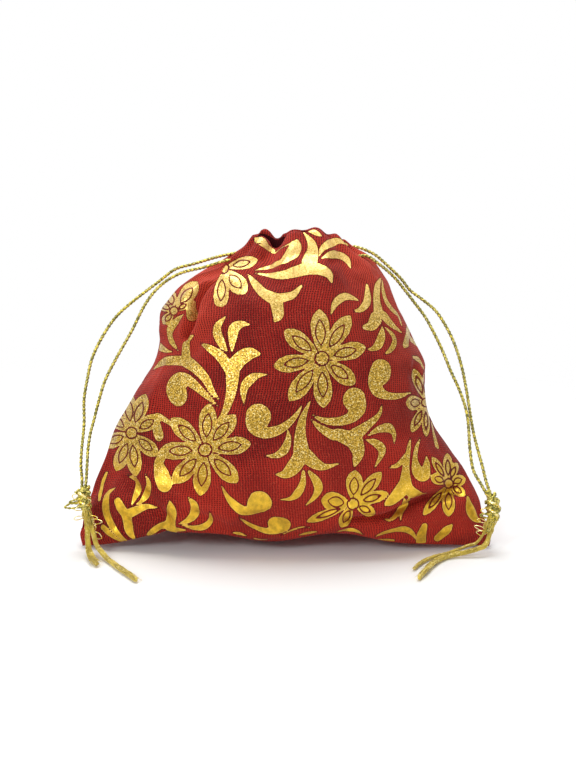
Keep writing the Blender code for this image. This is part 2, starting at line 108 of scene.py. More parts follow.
def run_along(points, axis=0, more=0.0):
    """How far each point lies along its line, for one line or a whole net of them."""
    steps = np.linalg.norm(np.diff(points, axis=axis), axis=-1) + more
    start = np.zeros_like(np.take(steps, [0], axis=axis))
    return np.cumsum(np.concatenate([start, steps], axis=axis), axis=axis)


def length_of(line):
    return float(run_along(line)[-1])


def even_places(line):
    """How far each point lies along a line whose points are evenly spaced."""
    return np.arange(len(line)) * (length_of(line) / (len(line) - 1))


def curve_at(t, a, b, c, d):
    """The smooth curve from b to c at share t; a and d are the places before and after."""
    return b + 0.5 * t * (c - a + t * (2 * a - 5 * b + 4 * c - d + t * (3 * (b - c) + d - a)))


def smooth_line(points, step, rise=16):
    """Evenly spaced points on the curve through the given ones."""
    given = np.array(points, float)
    given = np.vstack([2 * given[0] - given[1], given, 2 * given[-1] - given[-2]])
    fine = []
    for i in range(1, len(given) - 2):
        fine += [curve_at(t, *given[i - 1 : i + 3]) for t in np.linspace(0, 1, rise, endpoint=False)]
    fine = np.array(fine + [given[-2]])
    along = run_along(fine)
    places = np.linspace(0, along[-1], max(2, round(along[-1] / step)) + 1)
    return np.stack([np.interp(places, along, fine[:, k]) for k in range(given.shape[1])], axis=1)


quarter_turn = [(math.cos(angle), math.sin(angle)) for angle in np.linspace(0, math.pi / 2, 5)]
print("a quarter turn, 1.571 long, runs", round(length_of(smooth_line(quarter_turn, 0.1)), 3))

# %% [markdown]
# Each drawcord is one metallic cord of about 1.5 mm. Both of its ends come out of the hem,
# hang in an arch, and meet in a knot beside a bottom corner. Under the knot the metal
# wrapping is gone and the matt yellow core shows as a flattened, frayed tail. So what the
# eye follows is four cord ends, each from the hem through its knot to a bare end. The
# routes repeat the solid's, because a cord must lie where its solid does.

# %% Cord routes
CORD_DIAMETER = 0.0015
TAIL_DIAMETER = 0.0022
THIN_TAIL_DIAMETER = 0.0013
STRANDS = {
    "left_outer": [
        (-10.4, 4.7, 92.0), (-16.4, 3.3, 90.5), (-22.5, 2.7, 88.2), (-27.1, 1.3, 86.5),
        (-31.2, -0.6, 82.6), (-37.7, -5.6, 76.2), (-41.4, -8.9, 71.7), (-44.4, -12.2, 65.9),
        (-46.7, -15.6, 59.5), (-47.8, -18.9, 52.9), (-48.4, -22.2, 47.1), (-48.3, -25.1, 40.8),
        (-48.4, -27.8, 36.6), (-48.7, -30.0, 32.1), (-48.8, -32.2, 27.2), (-48.5, -33.9, 23.2),
    ],
    "left_inner": [
        (-9.5, -5.1, 89.4), (-14.0, -3.3, 89.7), (-19.6, -3.8, 87.6), (-25.6, -4.0, 85.6),
        (-30.4, -4.9, 81.8), (-34.0, -7.2, 76.2), (-37.3, -11.1, 67.8), (-40.8, -15.6, 59.7),
        (-43.4, -18.9, 53.0), (-44.7, -22.2, 47.4), (-45.9, -25.3, 41.1), (-46.7, -28.0, 36.8),
        (-47.1, -30.7, 32.5), (-47.2, -32.9, 28.6), (-47.3, -34.7, 24.9), (-47.4, -35.8, 22.7),
    ],
    "right_outer": [
        (13.6, 6.4, 91.3), (15.6, 5.3, 92.8), (17.2, 4.4, 93.5), (21.4, 3.8, 91.4),
        (24.8, 2.7, 87.8), (28.3, 1.1, 83.4), (30.4, 0.0, 79.9), (33.6, -2.2, 76.8),
        (36.8, -4.4, 73.2), (39.6, -7.8, 67.4), (41.4, -11.1, 61.9), (42.7, -14.4, 55.9),
        (43.5, -16.7, 50.6), (44.0, -20.0, 45.9), (44.5, -22.7, 41.1), (45.1, -25.1, 36.5),
        (45.9, -27.8, 32.0), (46.9, -30.7, 27.1), (48.0, -32.7, 21.5),
    ],
    "right_inner": [
        (15.1, -5.1, 89.9), (19.2, -3.3, 91.2), (22.8, -4.0, 88.3), (26.2, -4.7, 84.5),
        (28.9, -5.6, 80.3), (31.1, -7.1, 76.6), (33.7, -9.6, 72.1), (35.9, -12.2, 66.9),
        (37.9, -14.9, 61.4), (39.7, -17.8, 55.6), (41.4, -20.0, 50.8), (42.8, -22.4, 45.9),
        (43.5, -25.1, 41.6), (43.7, -27.8, 37.4), (43.9, -30.0, 32.3), (44.7, -32.2, 25.9),
        (46.7, -34.0, 21.2),
    ],
}
KNOTS = {
    "left": [
        (-47.9, -35.9, 21.4), (-48.1, -36.6, 18.5), (-47.8, -37.1, 15.5), (-47.1, -37.8, 11.6),
        (-46.4, -38.7, 7.4),
    ],
    "right": [
        (48.0, -34.4, 19.8), (49.1, -35.6, 16.2), (49.4, -36.7, 13.1), (48.9, -37.8, 9.8),
        (48.1, -38.8, 6.9),
    ],
}
TAILS = {
    "left_short": [
        (-46.9, -41.8, 3.8), (-46.4, -45.1, 2.0), (-45.5, -49.3, 1.0), (-44.4, -53.3, 0.9),
        (-43.4, -57.1, 0.9),
    ],
    "left_long": [
        (-45.1, -41.6, 3.9), (-43.7, -44.8, 2.1), (-41.9, -49.6, 1.0), (-40.1, -54.9, 0.9),
        (-37.8, -61.8, 0.9), (-35.3, -68.7, 0.9), (-33.0, -75.3, 0.9),
    ],
    "right_long": [
        (47.6, -41.8, 3.9), (45.6, -43.6, 2.7), (43.0, -44.2, 1.8), (40.1, -44.9, 1.1),
        (37.6, -47.1, 0.9), (35.3, -51.8, 0.9), (33.1, -58.6, 0.9), (31.1, -66.4, 0.9),
        (29.6, -73.1, 0.9),
    ],
    "right_short": [
        (45.6, -40.4, 4.2), (43.1, -40.9, 2.9), (40.3, -41.3, 1.5), (37.5, -42.9, 0.6),
        (34.8, -46.2, 0.6), (31.7, -52.9, 0.6), (29.2, -61.4, 0.6),
    ],
}
IN_KNOT = 0.0006  # how far a run sits to one side of the knot's line
CORD_RESTS = 0.0009  # lowest that a cord's line lies
ROUTE_STEP = 0.00022

# side, strand, tail, width of the tail, which side of the knot's line it runs on
CORD_ENDS = {
    "left_cord_back": ("left", "left_outer", "left_short", TAIL_DIAMETER, -1),
    "left_cord_front": ("left", "left_inner", "left_long", TAIL_DIAMETER, 1),
    "right_cord_back": ("right", "right_outer", "right_long", TAIL_DIAMETER, 1),
    "right_cord_front": ("right", "right_inner", "right_short", THIN_TAIL_DIAMETER, -1),
}


def whole_route(side, strand, tail, width, aside):
    """The centre line from inside the hem to the bare end, and where its knot begins."""
    above = on_bag(STRANDS[strand])
    through = on_bag(KNOTS[side]) + (aside * IN_KNOT, 0, 0)
    below = on_bag(TAILS[tail])
    below[:, 2] = np.maximum(below[:, 2], width / 2 + OVER_FLOOR)
    line = smooth_line(np.vstack([above, through[1:-1], below]), ROUTE_STEP)
    knot_start = int(np.linalg.norm(line - through[1], axis=1).argmin())
    knot_end = int(np.linalg.norm(line - through[-2], axis=1).argmin())
    line[:, 2] = np.maximum(line[:, 2], CORD_RESTS)
    return line, knot_start, knot_end


routes = {name: whole_route(*facts) for name, facts in CORD_ENDS.items()}
for name, (line, _, _) in routes.items():
    print(name, round(1000 * length_of(line)), "mm")

# %% [markdown]
# Metal cord is made of two plies of flat gold thread twisted round each other. A plain
# round tube would look like wire. The cords are swept meshes whose cross-section has two
# lobes that turn along the cord, which gives real twist to the outline. The same sweep
# makes the tails: there the section is a flat bundle of fibres.

# %% Sweeping a section along a line
def frames_along(line):
    """A side and a front direction at each point of a line, without sudden turns."""
    heading = np.gradient(line, axis=0)
    heading /= np.linalg.norm(heading, axis=1)[:, None]
    front = np.cross(heading[0], (0.3, 0.2, 0.93))
    fronts = []
    for way in heading:
        front = front - way * (front @ way)
        front = front / np.linalg.norm(front)
        fronts.append(front)
    fronts = np.array(fronts)
    return np.cross(fronts, heading), fronts


def round_angles(sides):
    return 2 * math.pi * np.arange(sides) / sides


def swept_mesh(line, radii, floor=None):
    """Vertices and faces of a closed tube; radii has one row of section radii per point."""
    sides = radii.shape[1]
    side, front = frames_along(line)
    angles = round_angles(sides)[None, :, None]
    spokes = np.cos(angles) * side[:, None] + np.sin(angles) * front[:, None]
    points = (line[:, None] + radii[:, :, None] * spokes).reshape(-1, 3)
    if floor is not None:
        points[:, 2] = np.maximum(points[:, 2], floor)
    faces = []
    for i in range(len(line) - 1):
        low, high = i * sides, (i + 1) * sides
        for k in range(sides):
            after = (k + 1) % sides
            faces.append((low + k, low + after, high + after, high + k))
    faces.append(tuple(range(sides))[::-1])
    faces.append(tuple(range((len(line) - 1) * sides, len(line) * sides)))
    return points, faces


def made_piece(name, points, faces, materials, marks=None):
    """A smooth-shaded object from points and faces, with its materials."""
    mesh = bpy.data.meshes.new(name)
    mesh.from_pydata([tuple(p) for p in points], [], faces)
    if marks is not None:
        mesh.polygons.foreach_set("material_index", marks)
    for material in materials:
        mesh.materials.append(material)
    cleaned = bmesh.new()
    cleaned.from_mesh(mesh)
    bmesh.ops.recalc_face_normals(cleaned, faces=cleaned.faces)
    cleaned.to_mesh(mesh)
    cleaned.free()
    mesh.shade_smooth()
    return in_scene(name, mesh)


def put_together(parts):
    """Several point and face lists as one."""
    points, faces, used = [], [], 0
    for some_points, some_faces in parts:
        points.append(some_points)
        faces += [tuple(used + i for i in face) for face in some_faces]
        used += len(some_points)
    return np.vstack(points), faces


line = routes["left_cord_back"][0]
points, faces = swept_mesh(line, np.full((len(line), 16), CORD_DIAMETER / 2))
print("a plain round cord would have", len(points), "points and", len(faces), "faces")

# %% [markdown]
# The finishes follow. What several of them share is a shader group: here a fine grain of
# light and dark specks, as metal foil and metal thread show, and later the threads of the
# cloth. Each group only puts out masks, and the material decides what to do with them.

# %% Shader helpers
def new_group(name, inputs, outputs):
    """An empty shader group with named number sockets, and its in and out nodes."""
    group = bpy.data.node_groups.new(name, "ShaderNodeTree")
    for socket, kind, value in inputs:
        made = group.interface.new_socket(socket, in_out="INPUT", socket_type=kind)
        if value is not None:
            made.default_value = value
    for socket, kind in outputs:
        group.interface.new_socket(socket, in_out="OUTPUT", socket_type=kind)
    return group, group.nodes.new("NodeGroupInput"), group.nodes.new("NodeGroupOutput")


def feed(tree, node_fed, values):
    """Gives each named input its value: a link from a socket, or a plain value."""
    for name, value in values.items():
        if isinstance(value, bpy.types.NodeSocket):
            tree.links.new(value, node_fed.inputs[name])
        else:
            node_fed.inputs[name].default_value = value


def node(tree, kind, values=None, **settings):
    made = tree.nodes.new(kind)
    for setting, value in settings.items():
        setattr(made, setting, value)
    feed(tree, made, values or {})
    return made


def object_place(tree):
    return node(tree, "ShaderNodeTexCoord").outputs["Object"]


def stored_on(tree, name, socket):
    return node(tree, "ShaderNodeAttribute", attribute_name=name).outputs[socket]


def math_node(tree, operation, *values):
    """A Math node; each value is a socket or a number."""
    return node(tree, "ShaderNodeMath", dict(enumerate(values)), operation=operation).outputs[0]


def ranged(tree, value, low, high, to_low=0.0, to_high=1.0):
    """A value moved smoothly from one range to another, and held at its ends."""
    ends = {"Value": value, "From Min": low, "From Max": high, "To Min": to_low, "To Max": to_high}
    return node(tree, "ShaderNodeMapRange", ends, interpolation_type="SMOOTHSTEP").outputs[0]


def mixed(tree, share, first, second):
    """Two colours mixed by a mask; each colour is a socket or three numbers."""
    colours = [(*colour, 1) if isinstance(colour, tuple) else colour for colour in (first, second)]
    return node(tree, "ShaderNodeMix", {0: share, 6: colours[0], 7: colours[1]}, data_type="RGBA").outputs[2]


def new_material(name, roughness, metallic, **values):
    """A material with its main shader's plain numbers set; returns it, its tree and shader."""
    material = bpy.data.materials.new(name)
    material.use_nodes = True
    tree = material.node_tree
    shader = tree.nodes["Principled BSDF"]
    feed(tree, shader, {"Roughness": roughness, "Metallic": metallic})
    feed(tree, shader, {name.replace("_", " "): value for name, value in values.items()})
    return material, tree, shader


def bumped(tree, shader, height, distance, strength):
    bump = node(tree, "ShaderNodeBump", {"Distance": distance, "Strength": strength, "Height": height})
    feed(tree, shader, {"Normal": bump.outputs[0]})


print("shader helpers ready")

# %% Shared group: metal grain
grain_group, grain_in, grain_out = new_group(
    "metal_grain",
    [("Place", "NodeSocketVector", None), ("Scale", "NodeSocketFloat", 1500.0)],
    [("Specks", "NodeSocketFloat"), ("Patches", "NodeSocketFloat")],
)
place, scale = grain_in.outputs["Place"], grain_in.outputs["Scale"]
cells = node(grain_group, "ShaderNodeTexVoronoi", {"Randomness": 1.0, "Vector": place, "Scale": scale})
shade = node(grain_group, "ShaderNodeSeparateColor", {0: cells.outputs["Color"]})
broad_scale = math_node(grain_group, "MULTIPLY", scale, 0.16)
broad = node(
    grain_group, "ShaderNodeTexNoise",
    {"Detail": 2.0, "Roughness": 0.6, "Vector": place, "Scale": broad_scale},
)
feed(grain_group, grain_out, {"Specks": shade.outputs[0], "Patches": broad.outputs["Fac"]})
print("group", grain_group.name)


def grain(tree, place, scale):
    made = node(tree, "ShaderNodeGroup", node_tree=grain_group)
    feed(tree, made, {"Place": place, "Scale": scale})
    return made.outputs["Specks"], made.outputs["Patches"]


# %% [markdown]
# The drawcord's thread is flat metal film. It flashes pale where a facet catches light and
# looks olive where it doesn't, in specks smaller than the cord. The specks paint this in:
# they choose between those two golds as painted glints and painted shade, and a bump turns
# each facet a little.

# %% Metal thread
zari, tree, shader = new_material("zari_thread", 0.35, 0.5)
specks, patches = grain(tree, object_place(tree), 1700.0)
# painted glints and painted shade: each speck is dark olive or warm gold
painted_facet_light = ranged(tree, specks, 0.25, 0.8)
warm = mixed(tree, ranged(tree, patches, 0.35, 0.65), (0.66, 0.58, 0.16), (0.80, 0.64, 0.08))
feed(tree, shader, {"Base Color": mixed(tree, painted_facet_light, (0.17, 0.16, 0.03), warm)})
bumped(tree, shader, specks, 0.00012, 0.7)
print("finish", zari.name)

# %% Bright film in the frayed knots
film, tree, shader = new_material("bright_film", 0.2, 0.85)
specks, patches = grain(tree, object_place(tree), 900.0)
# painted glints: pale specks scattered over the gold film
flash = mixed(tree, ranged(tree, specks, 0.3, 0.7), (0.75, 0.52, 0.05), (0.98, 0.86, 0.42))
feed(tree, shader, {"Base Color": flash})
bumped(tree, shader, patches, 0.0001, 0.5)
print("finish", film.name)

# %% [markdown]
# The core is matt, soft, golden yellow yarn. Its fibres are real geometry, so the material
# only adds a slow change of tone and the fuzz of loose ends through sheen.

# %% Core yarn
core, tree, shader = new_material("core_yarn", 0.75, 0.0, Sheen_Weight=0.25, Sheen_Roughness=0.5)
specks, patches = grain(tree, object_place(tree), 1200.0)
tone = mixed(tree, ranged(tree, patches, 0.35, 0.65), (0.46, 0.33, 0.03), (0.72, 0.55, 0.07))
light = mixed(tree, ranged(tree, specks, 0.7, 1.0), tone, (0.86, 0.72, 0.22))
feed(tree, shader, {"Base Color": light})
bumped(tree, shader, specks, 0.00008, 0.5)
print("finish", core.name)

# %% [markdown]
# Now the four cord ends. The two lobes turn once in about three cord widths. Past the knot
# the section opens into a flat bundle: a rounded strip with grooves along it, a little
# wider at its bare end, where the fibres fan out.

# %% The cords
CORD_SECTION_SIDES = 16
TWIST_PITCH = 0.0034
CORD_HOLLOW, WRAP_HOLLOW = 0.74, 0.62  # least share of the radius, in the valley between the plies
END_ROUNDING = 0.0012


def ply_radii(line, sides, diameter, hollow):
    """Section radii of two plies that turn along the line."""
    turn = round_angles(sides)[None, :] + 2 * math.pi * even_places(line)[:, None] / TWIST_PITCH
    return np.maximum(np.abs(np.cos(turn)), hollow) * diameter / 2


def cord_radii(line, knot_end, tail_width):
    along, angles = even_places(line), round_angles(CORD_SECTION_SIDES)
    plies = ply_radii(line, CORD_SECTION_SIDES, CORD_DIAMETER, CORD_HOLLOW)
    is_tail = np.clip((np.arange(len(line)) - knot_end) / 8, 0, 1)[:, None]
    to_end = np.clip((along - along[knot_end]) / (along[-1] - along[knot_end]), 0, 1)[:, None]
    half = tail_width / 2 * (0.72 + 0.12 * to_end)
    strip = half / np.sqrt(np.cos(angles) ** 2 * 0.9 + np.sin(angles) ** 2 * 2.0)[None, :]
    grooves = 1 + 0.10 * np.cos(5 * angles + 1.7)[None, :]
    grooves = grooves + 0.05 * np.sin(9 * angles[None, :] + 300 * along[:, None])
    end_round = np.sqrt(np.clip((along[-1] - along) / END_ROUNDING, 0.05, 1))[:, None]
    return (plies * (1 - is_tail) + strip * grooves * is_tail) * end_round


cords = {}
for name, (line, knot_start, knot_end) in routes.items():
    radii = cord_radii(line, knot_end, CORD_ENDS[name][3])
    points, faces = swept_mesh(line, radii, floor=OVER_FLOOR)
    middle = (knot_start + knot_end) // 2
    marks = [int(i // CORD_SECTION_SIDES >= middle) for i in range(len(faces) - 2)] + [0, 1]
    cords[name] = made_piece(name, points, faces, [zari, core], marks)
    print(name, len(faces), "faces")

# %% [markdown]
# Each knot is tied tight and then frayed. A few turns of the same metal cord are wound
# round the middle of the knot's line, leaning like a real wrap, and loops of thinner cord
# stand off them. Under them hangs a neck of loose yellow fibres, and fine loops of the
# metal film stick out where the wrapping broke.

# %% Fibres
FILM_RADIUS = 0.00019
HAIR_RADII = (0.00012, 0.00022)
# how far apart the points of hairs, of loops and wraps, and of a knot's middle line are
HAIR_STEP, LOOP_STEP, SPINE_STEP = 0.0007, 0.00025, 0.0002


def wandering(start, end, sway, rng, points=7):
    """A line from start to end that wanders sideways by up to sway."""
    line = np.linspace(start, end, points)
    line[1:-1] += rng.uniform(-sway, sway, (points - 2, 3))
    return smooth_line(line, HAIR_STEP, 6)


def hair(line, radius, sides=4):
    count = len(line)
    taper = np.minimum(1, np.linspace(0, 1, count)[::-1] * 4 + 0.35)
    return swept_mesh(line, np.repeat((radius * taper)[:, None], sides, axis=1), floor=OVER_FLOOR)


def reach_and_root(line, tip):
    """A loop's far end, and the point of the knot's line nearest to it."""
    reach = line[0] + np.array(tip) / 1000
    return reach, line[np.linalg.norm(line - reach, axis=1).argmin()]


def film_loop(root, tip, width, rng):
    """A thin loop of film that leaves the knot at root, turns at tip, and comes back."""
    across = np.cross(tip - root, (0.2, 1, 0.1))
    across *= width / max(np.linalg.norm(across), 1e-9)
    middle = root + (tip - root) * rng.uniform(0.45, 0.7) + rng.uniform(-0.0005, 0.0005, 3)
    line = smooth_line([root, middle + across, tip, middle - across, root + across / 3], LOOP_STEP, 8)
    return swept_mesh(line, np.full((len(line), 6), FILM_RADIUS))


def wrap_turns(line, share, radius, turns, lean):
    """Turns of cord wound round a share of a knot's line, from its start to its end."""
    first, last = (int(part * (len(line) - 1)) for part in share)
    spine = smooth_line(line[first : last + 1], SPINE_STEP, 4)
    side, front = frames_along(spine)
    phase = np.linspace(0, 2 * math.pi * turns, len(spine))
    swell = radius * (0.72 + 0.28 * np.sin(np.linspace(0.25, math.pi - 0.3, len(spine))))
    wound = spine + swell[:, None] * (np.cos(phase)[:, None] * side + np.sin(phase)[:, None] * front)
    wound[:, 2] += lean * np.cos(phase + 0.8)
    return smooth_line(wound, LOOP_STEP, 3)


def twisted(line, diameter):
    return swept_mesh(line, ply_radii(line, 12, diameter, WRAP_HOLLOW))


print("fibre tools ready")

# %% The knots
KNOT_DIAMETER = 0.0068
NECK_DIAMETER = 0.0048
LOOP_DIAMETER = 0.0010
FILM_WIDTHS = (0.0005, 0.0014)
NECK_FIBRES, NECK_SWAY = 70, 0.0006
# where loops reach to, from the knot's top: across, back, up, in millimetres
FILM_TIPS = {
    "left": [
        (-4.6, -2.6, -3.4), (5.8, -3.4, -12.5), (7.6, -3.0, -14.4), (5.0, -3.8, -16.2),
        (-3.6, -3.6, -9.0), (7.2, -3.6, -21.5), (3.4, -3.8, -5.0), (-4.2, -3.0, -13.4),
    ],
    "right": [
        (-4.4, -3.2, -12.0), (-5.4, -2.8, -14.6), (3.4, -3.6, -9.0), (4.6, -2.0, -5.0),
        (-3.2, -3.8, -7.5), (2.8, -3.4, -15.0), (-4.6, -3.0, -17.2),
    ],
}
THICK_LOOPS = {
    "left": [(-6.0, -2.2, -6.4), (-8.0, -1.6, -8.6), (3.0, -3.6, -2.0), (-3.2, -3.2, -1.6)],
    "right": [(4.4, -3.0, -7.4), (4.8, -2.6, -11.0), (-3.4, -3.6, -9.6), (1.0, -3.9, -6.0)],
}
WRAPPED = {"left": (0.04, 0.50), "right": (0.16, 0.66)}  # shares of the knot's line


def make_knot(side, seed):
    rng = np.random.default_rng(seed)
    line = smooth_line(on_bag(KNOTS[side]), 0.0004)
    start, end = WRAPPED[side]
    leaning = wrap_turns(line, (start, end), 0.36 * KNOT_DIAMETER, 3.2, 0.0007)
    crossing = wrap_turns(line, (start + 0.05, end), 0.34 * KNOT_DIAMETER, -2.2, -0.0012)
    metal, shiny = [twisted(leaning, 1.25 * CORD_DIAMETER)], [twisted(crossing, 1.1 * CORD_DIAMETER)]
    for tip in THICK_LOOPS[side]:
        reach, root = reach_and_root(line, tip)
        halfway, bend = (root + reach) / 2, np.cross(reach - root, (0.1, 1, 0.2)) * 0.16
        ring = smooth_line([root, halfway + bend, reach, halfway - bend, root], LOOP_STEP, 8)
        metal.append(twisted(ring, LOOP_DIAMETER))
    shares = [0, start, start + 0.1, end - 0.08, end + 0.05, 1]
    inner = np.interp(np.linspace(0, 1, len(line)), shares, [1.1, 1.3, 2.3, 2.3, 1.4, 1.2]) / 1000
    body = swept_mesh(line, np.repeat(inner[:, None], 12, axis=1))
    loops = []
    for tip in FILM_TIPS[side]:
        reach, root = reach_and_root(line, tip)
        loops.append(film_loop(root, reach, rng.uniform(*FILM_WIDTHS), rng))
    fibres = []
    start, end = line[int((end - 0.06) * len(line))], line[-1]
    for _ in range(NECK_FIBRES):
        turn, out = rng.uniform(0, 2 * math.pi), rng.uniform(0.3, 1)
        ring = np.array([math.cos(turn), math.sin(turn), 0])
        top = start + ring * out * NECK_DIAMETER * 0.34
        low = end + ring * out * NECK_DIAMETER * 0.42 + (0, 0, rng.uniform(-0.001, 0.003))
        fibres.append(hair(wandering(top, low, NECK_SWAY, rng), rng.uniform(*HAIR_RADII)))
    lump = made_piece(side + "_knot_wraps", *put_together([*metal, body]), [zari])
    flash = made_piece(side + "_knot_film", *put_together(loops + shiny), [film])
    neck = made_piece(side + "_knot_neck", *put_together(fibres), [core])
    return lump, flash, neck


knots = {side: make_knot(side, seed) for side, seed in (("left", 5), ("right", 8))}
for side, pieces in knots.items():
    print(side, [(piece.name, len(piece.data.polygons)) for piece in pieces])

# %% [markdown]
# A flattened tail is a strip, but its surface is strands. Hairs are laid over each tail,
# and at the bare end they fan out a little and stop at different lengths.

# %% Frayed tails
TAIL_HAIRS, TAIL_SWAY = 46, 0.00014
TAIL_HAIR_RADII = (0.00012, 0.0002)
PAST_END = (0.0004, 0.0022)  # how far a hair sticks out past its tail's end
FANS = (1.6, 0.5, 0.9, 0.4)  # how much each tail spreads at its end


def tail_hairs(name, seed, fan):
    rng = np.random.default_rng(seed)
    line, _, knot_end = routes[name]
    width = CORD_ENDS[name][3]
    tail = line[knot_end::6]
    level = np.cross(np.gradient(tail, axis=0), (0, 0, 1))
    level /= np.linalg.norm(level, axis=1)[:, None]
    parts = []
    for _ in range(TAIL_HAIRS):
        first = rng.integers(0, max(1, len(tail) // 2))
        last = rng.integers(max(first + 4, int(0.7 * len(tail))), len(tail))
        across, over = rng.uniform(-0.42, 0.42) * width, rng.uniform(0.05, 0.40) * width
        spread = 1 + fan * np.linspace(0, 1, len(tail)) ** 3
        run = tail + level * (across * spread)[:, None] + np.array([0, 0, 1]) * over
        run = run[first : last + 1]
        run[1:-1] += rng.uniform(-TAIL_SWAY, TAIL_SWAY, (len(run) - 2, 3))
        if last > 0.9 * len(tail):
            ahead = (run[-1] - run[-2]) / np.linalg.norm(run[-1] - run[-2])
            tip = run[-1] + ahead * rng.uniform(*PAST_END) + level[-1] * across * 0.3
            run = np.vstack([run, tip])
        parts.append(hair(smooth_line(run, HAIR_STEP, 4), rng.uniform(*TAIL_HAIR_RADII)))
    return made_piece(name + "_fray", *put_together(parts), [core])


frays = {name: tail_hairs(name, 20 + i, FANS[i]) for i, name in enumerate(CORD_ENDS)}
print({name: len(piece.data.polygons) for name, piece in frays.items()})

# %% Each cord, its tail and its knot are attached to the pouch, and the solid's pieces they replace are hidden
REPLACED = {
    "left_cord_back": ("left_drawcord", "left_tail_short"),
    "left_cord_front": ("left_drawcord", "left_tail_long"),
    "right_cord_back": ("right_drawcord", "right_tail_long"),
    "right_cord_front": ("right_drawcord", "right_tail_short"),
}
for name, cord in cords.items():
    side, strand = CORD_ENDS[name][0], CORD_ENDS[name][1]
    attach(cord, "root")
    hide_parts(*REPLACED[name])
    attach(frays[name], "root")
    carried = [frays[name]]
    if name.endswith("back"):
        carried += list(knots[side])
    line = routes[name][0]
for side, pieces in knots.items():
    for piece in pieces:
        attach(piece, "root")
    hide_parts(side + "_knot")

# %% [markdown]
# The cloth of the real pouch is two printed panels sewn at the sides and the bottom and
# gathered at the hem. Its rounded, creased form is laid by the same loft that made the
# solid: sections round the pouch, joined smoothly from the bottom seam to the pit of the
# mouth. Here the loft is read far more finely, so folds and print can be crisp.

# %% The loft's sections, in hundredths of the pouch's size
SECTIONS = (
    # left, right, edge y, edge z, front y, front z, back y, back z, pointed
    (-49.3, 49.3, -31.1, 0.5, -38.9, 3.4, -38.9, 3.4, 1.6),  # bottom seam
    (-49.7, 49.7, -28.9, 5.6, -44.2, 9.0, -17.8, 2.6, 1.5),
    (-48.4, 47.4, -24.4, 12.0, -48.0, 18.0, 12.2, -0.8, 1.4),
    (-44.7, 43.4, -15.6, 22.6, -50.0, 29.3, 32.2, -0.2, 1.3),
    (-40.7, 37.1, -6.7, 37.6, -50.0, 42.9, 47.2, 19.5, 1.15),
    (-33.9, 34.3, 0.0, 56.4, -45.6, 59.4, 50.0, 42.9, 1.05),
    (-30.1, 27.5, 2.2, 74.4, -36.7, 75.9, 41.1, 68.4, 1.0),
    (-23.8, 24.2, 2.2, 83.1, -27.8, 85.0, 28.9, 82.0, 1.0),
    (-15.2, 20.4, 1.7, 89.1, -18.3, 90.2, 16.7, 90.2, 1.0),
    (-9.1, 14.8, 0.0, 93.6, -10.2, 93.6, 7.2, 93.6, 1.0),  # rim of the mouth
    (-7.6, 13.1, -0.6, 92.8, -7.6, 92.8, 4.6, 92.8, 1.0),  # inside of the lip
    (-5.5, 10.8, -0.3, 88.4, -3.7, 88.0, 2.9, 89.2, 1.0),
    (-4.7, 9.1, -0.3, 82.3, -3.1, 82.3, 2.6, 82.3, 1.0),  # floor of the pit
)
RIM = 9
SEAM_ARCHES = ((-23.5, 11.4, 6.8), (11.9, 9.7, 3.8))  # middle, half width, height
RIM_LOBES = ((-5.9, 2.7, 4.8), (4.7, 6.3, 5.8), (11.3, 3.2, 2.0))
RIM_DIP = (-4.1, 2.4, 3.6)
BACK_PLEATS = ((-1.0, 1.1, 1.3), (-3.0, 0.9, 0.6))  # small pleats of the rim behind the dip
print(len(SECTIONS), "sections")

# %% Creases and ridges: the line that each follows, how deep it is and how wide, in metres
FOLDS = (
    (((-30.8, -22.2, 64.5), (-31.6, -27.8, 54.1), (-32.4, -30.0, 43.3)), -0.0025, 0.0035),
    (((26.7, -31.1, 70.0), (27.2, -36.7, 57.1), (27.6, -40.0, 48.0)), -0.0015, 0.0035),
    (((32.5, -16.7, 63.8), (33.4, -16.7, 52.6)), 0.0022, 0.0035),
    (((-28.7, -42.2, 12.0), (-28.9, -40.0, 8.0)), 0.0012, 0.0035),
)
# The same for folds placed in the picture: a line in pixels, then depth and width
SEEN_FOLDS = (
    (((230, 262), (216, 275), (204, 288), (196, 301), (191, 318), (183, 334)), 0.0062, 0.0021),
    (((200, 283), (190, 293), (181, 306)), -0.0022, 0.0040),
    (((219, 266), (209, 271.5), (197, 280)), 0.0030, 0.0050),
    (((226, 280), (212, 297), (203, 316)), -0.0012, 0.0040),
    (
        ((350, 521), (368, 520), (384, 519), (400, 512), (414, 504), (430, 497), (446, 494), (458, 490)),
        0.0048, 0.0024,
    ),
    (((352, 510), (378, 508), (398, 500), (416, 492), (436, 485)), -0.0030, 0.0050),
    (((420, 366), (424, 380), (427, 395), (421, 412)), 0.0016, 0.0040),
    (((350, 240), (372, 268), (390, 300), (402, 330)), -0.0012, 0.0050),
    (((338, 262), (356, 290), (366, 322)), 0.0009, 0.0045),
    (((262, 262), (250, 300), (246, 340)), 0.0008, 0.0055),
    (((176, 470), (200, 492), (232, 500), (262, 492)), 0.0010, 0.0050),
    (((118, 470), (140, 492), (160, 516)), 0.0010, 0.0045),
    (((290, 486), (330, 478), (372, 486)), 0.0008, 0.0060),
)
HEM_PLEATS = 11
PLEAT_DEPTH = 0.0010
CLOTH_RESTS = 0.0002  # lowest that the cloth lies
FOLD_STEP, BRUSH_STEP = 5.0, 2.0  # pixels between the points cast onto the cloth
HALF_TURN = np.array([-1, -1, 1])  # takes the front's places to the back's


def hump(x, middle, half_width):
    return np.exp(-(((x - middle) / half_width) ** 2))


